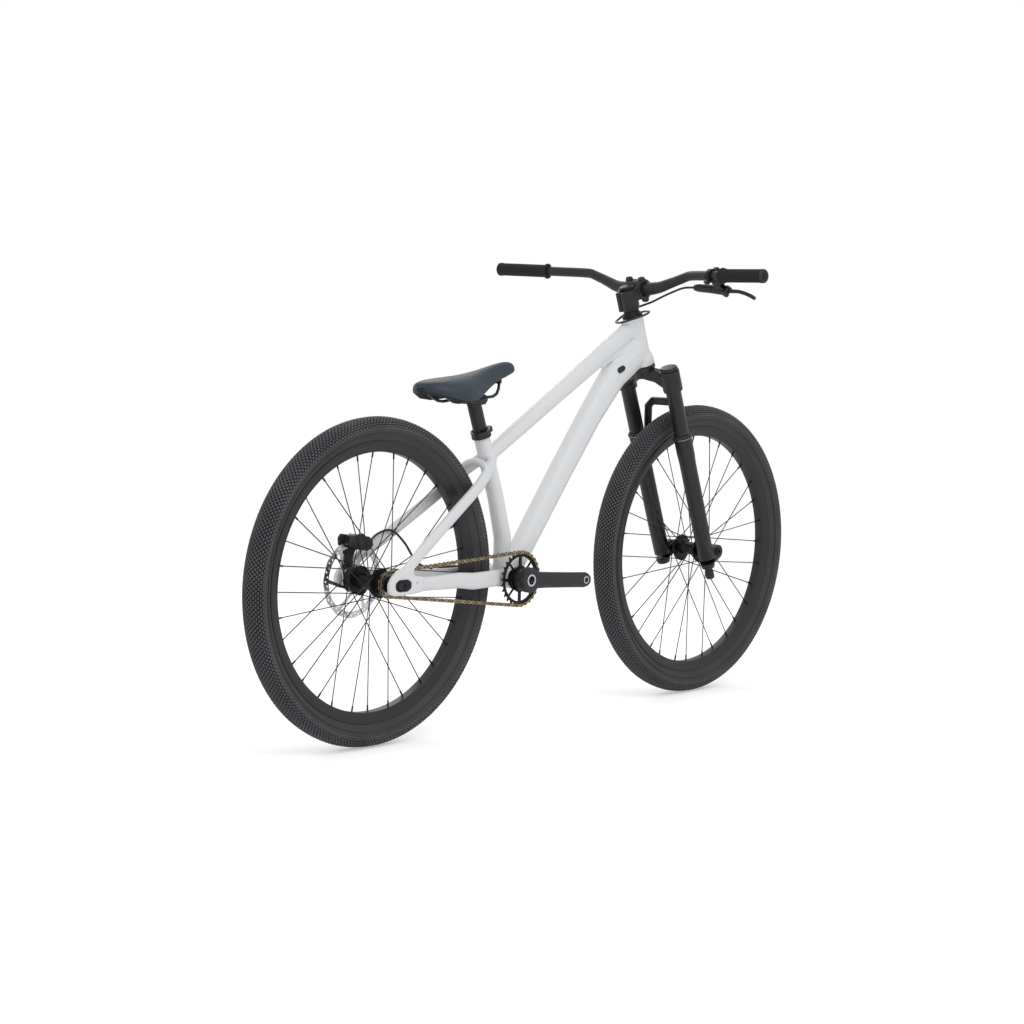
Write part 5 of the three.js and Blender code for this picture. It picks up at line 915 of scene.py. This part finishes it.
def lightStudio():
    world = bpy.data.worlds.new("studio")
    world.use_nodes = True
    scene.world = world
    tree = world.node_tree
    tree.nodes.clear()
    out = tree.nodes.new("ShaderNodeOutputWorld")
    seen = tree.nodes.new("ShaderNodeBackground")
    air = tree.nodes.new("ShaderNodeBackground")
    seen.inputs["Color"].default_value = (1, 1, 1, 1)
    seen.inputs["Strength"].default_value = 1
    air.inputs["Color"].default_value = studio["airColour"]
    air.inputs["Strength"].default_value = studio["air"]
    path = tree.nodes.new("ShaderNodeLightPath")
    either = tree.nodes.new("ShaderNodeMath")
    either.operation = "MAXIMUM"
    mix = tree.nodes.new("ShaderNodeMixShader")
    tree.links.new(path.outputs["Is Camera Ray"], either.inputs[0])
    tree.links.new(path.outputs["Is Transmission Ray"], either.inputs[1])
    tree.links.new(either.outputs[0], mix.inputs["Fac"])
    tree.links.new(air.outputs[0], mix.inputs[1])
    tree.links.new(seen.outputs[0], mix.inputs[2])
    tree.links.new(mix.outputs[0], out.inputs["Surface"])
    for name, lampValues in studio["lamps"].items():
        place = lampValues["place"]
        bpy.ops.object.light_add(type="AREA", location=place)
        lamp = bpy.context.object
        lamp.name = name
        lamp.data.size = lampValues["size"]
        lamp.data.energy = lampValues["power"]
        lamp.rotation_euler = (Vector(studio["aim"]) - Vector(place)).to_track_quat("-Z", "Y").to_euler()


def addFloor():
    v = floorValues
    bpy.ops.mesh.primitive_circle_add(vertices=v["sides"], radius=v["radius"], fill_type="NGON",
                                      location=(0, 0, v["level"]))
    floor = bpy.context.object
    floor.name = "pale_floor"
    material = bpy.data.materials.new("paleFloor")
    material.use_nodes = True
    tree = material.node_tree
    tree.nodes.clear()
    out = tree.nodes.new("ShaderNodeOutputMaterial")
    paper = tree.nodes.new("ShaderNodeBsdfDiffuse")
    paper.inputs["Color"].default_value = v["colour"]
    clear = tree.nodes.new("ShaderNodeBsdfTransparent")
    path = tree.nodes.new("ShaderNodeLightPath")
    lift = tree.nodes.new("ShaderNodeMath")
    lift.operation = "MULTIPLY"
    lift.inputs[1].default_value = v["lift"]
    glow = tree.nodes.new("ShaderNodeEmission")
    lit = tree.nodes.new("ShaderNodeAddShader")
    tree.links.new(path.outputs["Is Camera Ray"], lift.inputs[0])
    tree.links.new(lift.outputs[0], glow.inputs["Strength"])
    tree.links.new(paper.outputs[0], lit.inputs[0])
    tree.links.new(glow.outputs[0], lit.inputs[1])
    mix = tree.nodes.new("ShaderNodeMixShader")
    place = tree.nodes.new("ShaderNodeTexCoord")
    span = tree.nodes.new("ShaderNodeVectorMath")
    span.operation = "LENGTH"
    fade = tree.nodes.new("ShaderNodeMapRange")
    fade.interpolation_type = "SMOOTHSTEP"
    fade.inputs["From Min"].default_value = v["fade"][0]
    fade.inputs["From Max"].default_value = v["fade"][1]
    tree.links.new(place.outputs["Object"], span.inputs[0])
    tree.links.new(span.outputs["Value"], fade.inputs["Value"])
    tree.links.new(fade.outputs["Result"], mix.inputs["Fac"])
    tree.links.new(lit.outputs[0], mix.inputs[1])
    tree.links.new(clear.outputs[0], mix.inputs[2])
    tree.links.new(mix.outputs[0], out.inputs["Surface"])
    coat(floor, material)


lightStudio()
addFloor()
print("studio lit")
